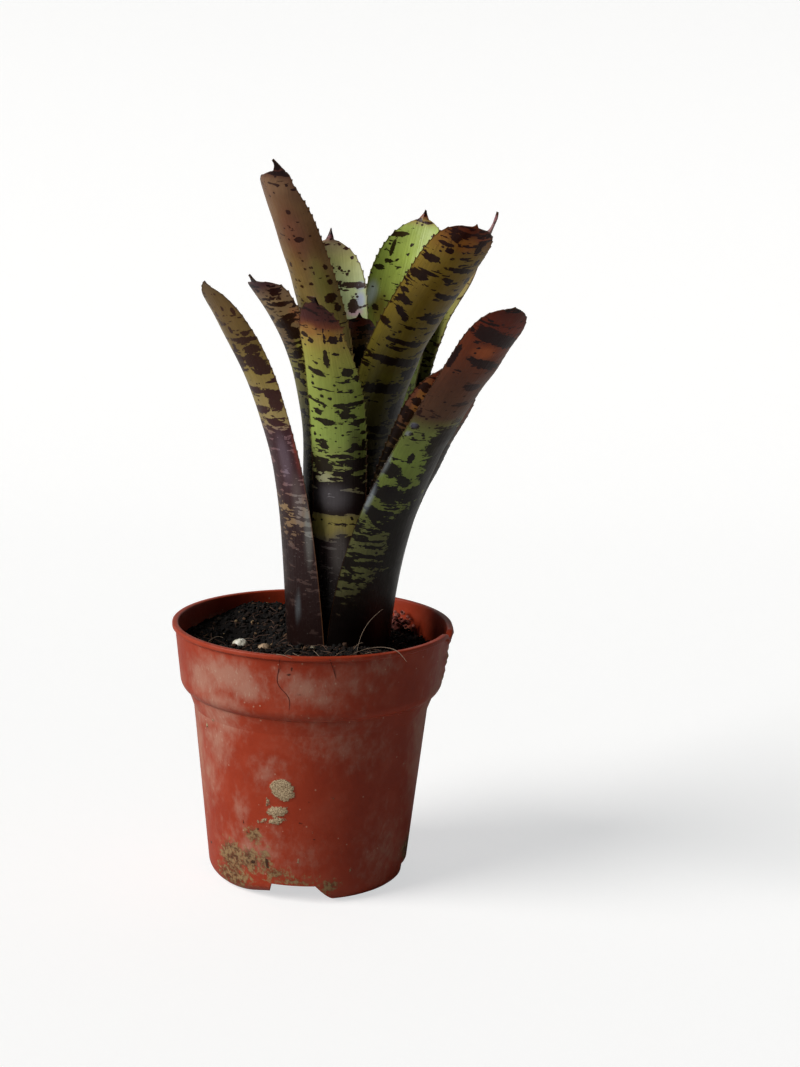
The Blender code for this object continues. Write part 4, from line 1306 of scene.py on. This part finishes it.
def scatter(count, small, large, sink, seed, flat=1.0):
    """Random places on the soil, kept off the plant, with more small bits than large ones."""
    draw = random.Random(seed)
    bits = []
    while len(bits) < count:
        x, y = draw.uniform(-56, 56), draw.uniform(-56, 56)
        size = small + (large - small) * draw.random() ** 3
        z = soil_height(x, y)
        near_wall = math.hypot(x, y) > inner_radius(z) - size - 0.2
        in_plant = math.hypot(x - PLANT_X, y - PLANT_Y) < PLANT_CLEAR
        if near_wall or in_plant:
            continue
        length = size * draw.uniform(0.7, 1.3)
        width = size * draw.uniform(0.6, 1.1)
        rise = size * flat * draw.uniform(0.6, 1.0)
        bits.append(((x, y, z + rise * (1 - 2 * sink)), (length, width, rise), draw.random()))
    return bits


shaded_crumb_material, tree, shader = new_material("soil_crumb")
shade = read(tree, "shade")
where = place(tree, "TexCoord").outputs["Object"]
ramp = place(tree, "ValToRGB", {"Fac": shade})
for position, code in SHADED_CRUMB_TONES:
    stop = ramp.color_ramp.elements.new(position) if position not in (0.0, 1.0) else None
    stop = stop or ramp.color_ramp.elements[0 if position == 0.0 else -1]
    stop.color = tone(code)
crumb_grain = grain(tree, where, 700.0, 3.0)
crumb_light = place(tree, "CombineColor", {i: maths(tree, "ADD", crumb_grain, 0.5) for i in range(3)})
colour = blend(tree, 1.0, ramp.outputs["Color"], crumb_light.outputs[0], "MULTIPLY")
tree.links.new(colour, shader.inputs["Base Color"])
shader.inputs["Roughness"].default_value = 0.92
shader.inputs["Specular IOR Level"].default_value = 0.3
rubble("soil_crumbs", scatter(CRUMB_COUNT, 0.35, 1.3, 0.3, 5), shaded_crumb_material, 6)
rubble("bark_bits", scatter(BARK_COUNT, 0.9, 2.6, 0.3, 8, 0.5), shaded_crumb_material, 9)
print("crumbs:", CRUMB_COUNT, "bark bits:", BARK_COUNT)

# %% [markdown]
# Four larger things catch the eye on the soil: a white bead of perlite, a tan pebble beside it, a small
# grey granule at the front, and a reddish clump of bark at the right. Each is a ball with its surface
# pushed in and out by noise, and stands for a solid of the frame. Their boxes give place and size.

# %% Granules
def granule(name, node, codes, lump, pits, seed):
    """A rough stone that fills the frame's box of a node."""
    low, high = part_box(node)
    middle, half = (low + high) / 2, (high - low) / 2
    material, tree, shader = new_material(name + "_surface")
    where = place(tree, "TexCoord").outputs["Object"]
    cloud = grain(tree, where, 350.0, 4.0, 0.65)
    colour = blend(tree, step_mask(tree, cloud, 0.35, 0.65), tone(codes[0]), tone(codes[1]))
    tree.links.new(colour, shader.inputs["Base Color"])
    shader.inputs["Roughness"].default_value = 0.85
    bumped(tree, shader, grain(tree, where, 900.0, 4.0), 0.3 * MM)
    rings, steps = 28, 40
    points = []
    for ring in range(rings):
        rise = math.pi * (ring + 0.5) / rings
        for step in range(steps):
            turn = 2 * math.pi * step / steps
            way = Vector((math.sin(rise) * math.cos(turn), math.sin(rise) * math.sin(turn), math.cos(rise)))
            spot = way * 1.5 + Vector((seed, 0.0, 0.0))
            size = 0.94 + lump * noise.noise(spot) + pits * noise.noise(spot * 4.0)
            points.append([middle[k] + half[k] * way[k] * size for k in range(3)])
    faces = grid_faces(rings, steps, flip=True, wrap=True)
    faces.append(tuple(range(steps)))
    faces.append(tuple(range(rings * steps - 1, (rings - 1) * steps - 1, -1)))
    obj = new_mesh(name, points, [face[::-1] for face in faces], material)
    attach(obj, "root")
    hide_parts(node)


granule("perlite_bead", "perlite_granule", ("b8b4a0", "f2f0e4"), 0.1, 0.07, 3.0)
granule("tan_stone", "tan_pebble", ("6c553e", "b09678"), 0.14, 0.1, 7.0)
granule("grey_stone", "grey_granule", ("4c4638", "a39a80"), 0.12, 0.16, 11.0)
granule("bark_core", "bark_clump", ("2c120c", "6a2c20"), 0.3, 0.25, 19.0)

low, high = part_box("bark_clump")
clump_middle = [(a + b) / 2 / MM for a, b in zip(low, high)]
draw = random.Random(21)
clump_bits = []
for index in range(64):
    reach = [draw.gauss(0, 1) for k in range(3)]
    at = (
        clump_middle[0] + 3.4 * reach[0],
        clump_middle[1] + 2.0 * reach[1],
        clump_middle[2] + 1.5 + 2.2 * abs(reach[2]),
    )
    size = draw.uniform(0.8, 1.9)
    clump_bits.append((at, (size, size * 0.8, size * 0.7), draw.random()))
# The clump's crumbs are coloured brighter than the bark itself, as painted light, since here they sit in
# shade where the real clump is lit.
painted_light_bark_material, tree, shader = new_material("red_bark_painted_light")
colour = blend(tree, read(tree, "shade"), tone("5c241e"), tone("c07062"))
tree.links.new(colour, shader.inputs["Base Color"])
shader.inputs["Roughness"].default_value = 0.85
rubble("bark_crumbs", clump_bits, painted_light_bark_material, 22)
print("granules and clump made; clump middle", [round(c, 1) for c in clump_middle])

# %% [markdown]
# Thin roots and fibres lie on the mix, some of them over the lip of the pot. Curves are right for them:
# a few points each, a round bevel, and ends that thin out. The ones that show in front are listed one
# by one, and the rest are drawn at random from a fixed seed.

# %% Fibres
PALE_ROOTS = (
    ((-12, -49, 109.6), (-10, -46, 111.2), (-7, -44, 111.4), (-4, -42, 110.6)),
    ((-17, -54, 110.2), (-14, -57.4, 112.6), (-11, -59.6, 112.6), (-8, -60.4, 111.6)),
    ((-8, -46, 110.0), (-6, -52, 110.6), (-5, -55, 111.2)),
    ((0.5, -44, 110.6), (1.5, -50, 111.4), (3.2, -54.5, 110.8)),
    ((8, -54, 110.2), (11, -51, 112.0), (14, -48.5, 112.2), (17, -47, 110.4)),
    ((18, -43, 108.0), (19, -37, 113.0), (22, -30, 118.0), (26, -27, 122.0), (29, -25, 124.0)),
    (
        (14, -46, 109.0), (20, -45, 111.6), (27, -44.5, 113.0),
        (33, -48, 113.2), (36, -54, 112.6), (38, -58, 110.6),
    ),
    ((21, -40, 108.4), (24, -40, 109.6), (27, -38, 109.2)),
    ((17, -36, 109.0), (19, -33, 111.8), (21, -33.5, 111.5)),
    ((-30, -28, 110.0), (-26, -26.5, 111.6), (-24, -27, 110.0)),
    ((-44, -12, 105.0), (-41, -8, 107.4), (-38, -9, 106.0)),
)
FIBRE_COUNT = 170


def random_fibre(draw):
    """A short curl that starts and ends near the soil's face."""
    while True:
        x, y = draw.uniform(-52, 52), draw.uniform(-52, 52)
        if math.hypot(x, y) < 51 and math.hypot(x - PLANT_X, y - PLANT_Y) > 21.5:
            break
    heading, turn = draw.uniform(0, 6.3), draw.uniform(-0.5, 0.5)
    step = draw.uniform(1.2, 2.6)
    points = []
    for index in range(5):
        lift = 0.3 + draw.uniform(0.0, 0.9) * math.sin(math.pi * index / 4)
        points.append(Vector((x, y, soil_height(x, y) + lift)) * MM)
        heading += turn
        x += step * math.cos(heading)
        y += step * math.sin(heading)
        if math.hypot(x, y) > inner_radius(soil_height(x, y)) - 1.0:
            break
    return points


def fibre_material(name, code):
    material, tree, shader = new_material(name)
    shader.inputs["Base Color"].default_value = tone(code)
    shader.inputs["Roughness"].default_value = 0.7
    return material


pale_roots = thread_object("pale_roots", fibre_material("pale_root", "806e5c"))
for root in PALE_ROOTS:
    strand(pale_roots.data, [Vector(point) * MM for point in root], 0.13 * MM)
brown_fibres = thread_object("brown_fibres", fibre_material("brown_fibre", "4a3020"))
draw = random.Random(31)
for index in range(FIBRE_COUNT):
    points = random_fibre(draw)
    if len(points) > 2:
        strand(brown_fibres.data, points, draw.uniform(0.1, 0.22) * MM)
for threads in (pale_roots, brown_fibres):
    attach(threads, "root")
print("roots:", len(pale_roots.data.splines), "fibres:", len(brown_fibres.data.splines))

# %% [markdown]
# The stem is out of sight inside the sheaths. It keeps the frame's solid and gets a fleshy finish.

# %% Stem
stem_material, tree, shader = new_material("stem_flesh")
where = place(tree, "TexCoord").outputs["Object"]
colour = blend(tree, grain(tree, where, 300.0), tone("4a4c2a"), tone("787a48"))
tree.links.new(colour, shader.inputs["Base Color"])
shader.inputs["Roughness"].default_value = 0.6
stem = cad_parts["stem"]
stem.data.materials.clear()
stem.data.materials.append(stem_material)
print("stem dressed")

# %% [markdown]
# The picture was taken by daylight from the left, a little in front of the plant, with the right side in
# soft shade. A sun lamp with a wide disc stands in for the window: its light is even over the whole floor,
# and its shadows are soft. A weak glow from all round keeps the shade readable. The floor sweeps up behind
# the plant, and shows the camera a little light of its own, so it stays pale without lighting the pot.

# %% Floor and light
WINDOW_TURN = -68.0
WINDOW_HIGH = 34.0
WINDOW_WIDE = 38.0
WINDOW_STRENGTH = 3.5
ROOM_GLOW = 0.037
SWEEP_NEAR = -2.5
SWEEP_FAR = 1.6
SWEEP_RADIUS = 0.9
SWEEP_TOP = 2.6
SWEEP_HALF = 3.5

window = bpy.data.lights.new("window_light", "SUN")
window.energy = WINDOW_STRENGTH
window.angle = math.radians(WINDOW_WIDE)
window.color = (1.0, 0.98, 0.96)
window_lamp = bpy.data.objects.new("window_light", window)
turn, high = math.radians(WINDOW_TURN), math.radians(WINDOW_HIGH)
towards = Vector((math.sin(turn) * math.cos(high), -math.cos(turn) * math.cos(high), math.sin(high)))
window_lamp.rotation_euler = towards.to_track_quat("Z", "Y").to_euler()
scene.collection.objects.link(window_lamp)


def sweep_points():
    """A floor that runs back, turns up in a quarter circle and ends in a wall."""
    section = [(SWEEP_NEAR, 0.0), (-0.6, 0.0), (0.2, 0.0)]
    for step in range(25):
        turn = math.radians(90 * step / 24)
        back = SWEEP_FAR - SWEEP_RADIUS * (1 - math.sin(turn))
        section.append((back, SWEEP_RADIUS * (1 - math.cos(turn))))
    section.append((SWEEP_FAR, SWEEP_TOP))
    return [[(side * SWEEP_HALF, y, z) for side in (-1, 1)] for y, z in section]


floor_material, tree, shader = new_material("pale_floor")
shader.inputs["Base Color"].default_value = (0.5, 0.5, 0.49, 1.0)
shader.inputs["Roughness"].default_value = 0.9
shader.inputs["Emission Color"].default_value = (0.98, 0.99, 1.0, 1.0)
to_camera = place(tree, "LightPath").outputs["Is Camera Ray"]
tree.links.new(maths(tree, "MULTIPLY", to_camera, 0.6), shader.inputs["Emission Strength"])
sweep = sweep_points()
floor = new_mesh("floor", sweep, grid_faces(len(sweep), 2, flip=True), floor_material)

world = bpy.data.worlds.new("pale_room")
world.use_nodes = True
scene.world = world
air = world.node_tree
glow = air.nodes["Background"]
glow.inputs["Color"].default_value = (0.95, 0.98, 1.0, 1.0)
glow.inputs["Strength"].default_value = ROOM_GLOW
seen = place(air, "Background", {"Color": (0.86, 0.86, 0.85, 1.0), "Strength": 0.95})
to_camera = place(air, "LightPath").outputs["Is Camera Ray"]
choice = place(air, "MixShader", {0: to_camera, 1: glow.outputs[0], 2: seen.outputs[0]})
air.links.new(choice.outputs[0], air.nodes["World Output"].inputs["Surface"])
scene.view_settings.view_transform = "Standard"

# %% [markdown]
# The camera stands where the real one did: 84 cm in front, 32 cm up, looking down a little. Its
# place and turn were found by matching the ellipses of the pot's rim and band with the picture.

# %% Camera
CAMERA_BACK = 0.8356
CAMERA_HIGH = 0.3244
LOOKS_DOWN = math.radians(11.70)
LOOKS_RIGHT = math.radians(2.49)
ROLLS = math.radians(1.78)
FOCAL_PIXELS = 2000.0
PICTURE_LONG_SIDE = 1067.0
SENSOR = 36.0

ahead = Vector(
    (
        math.sin(LOOKS_RIGHT) * math.cos(LOOKS_DOWN),
        math.cos(LOOKS_RIGHT) * math.cos(LOOKS_DOWN),
        -math.sin(LOOKS_DOWN),
    )
)
level = Vector((math.cos(LOOKS_RIGHT), -math.sin(LOOKS_RIGHT), 0.0))
upward = level.cross(ahead)
to_right = level * math.cos(ROLLS) + upward * math.sin(ROLLS)
to_top = upward * math.cos(ROLLS) - level * math.sin(ROLLS)
camera_data = bpy.data.cameras.new("portrait_camera")
camera_data.sensor_width = SENSOR
camera_data.lens = FOCAL_PIXELS * SENSOR / PICTURE_LONG_SIDE
camera_data.clip_start = 0.02
camera = bpy.data.objects.new("portrait_camera", camera_data)
turned = Matrix((to_right, to_top, -ahead)).transposed().to_4x4()
camera.matrix_world = Matrix.Translation((0.0, -CAMERA_BACK, CAMERA_HIGH)) @ turned
scene.collection.objects.link(camera)
scene.camera = camera
print("lens:", round(camera_data.lens, 2), "mm")
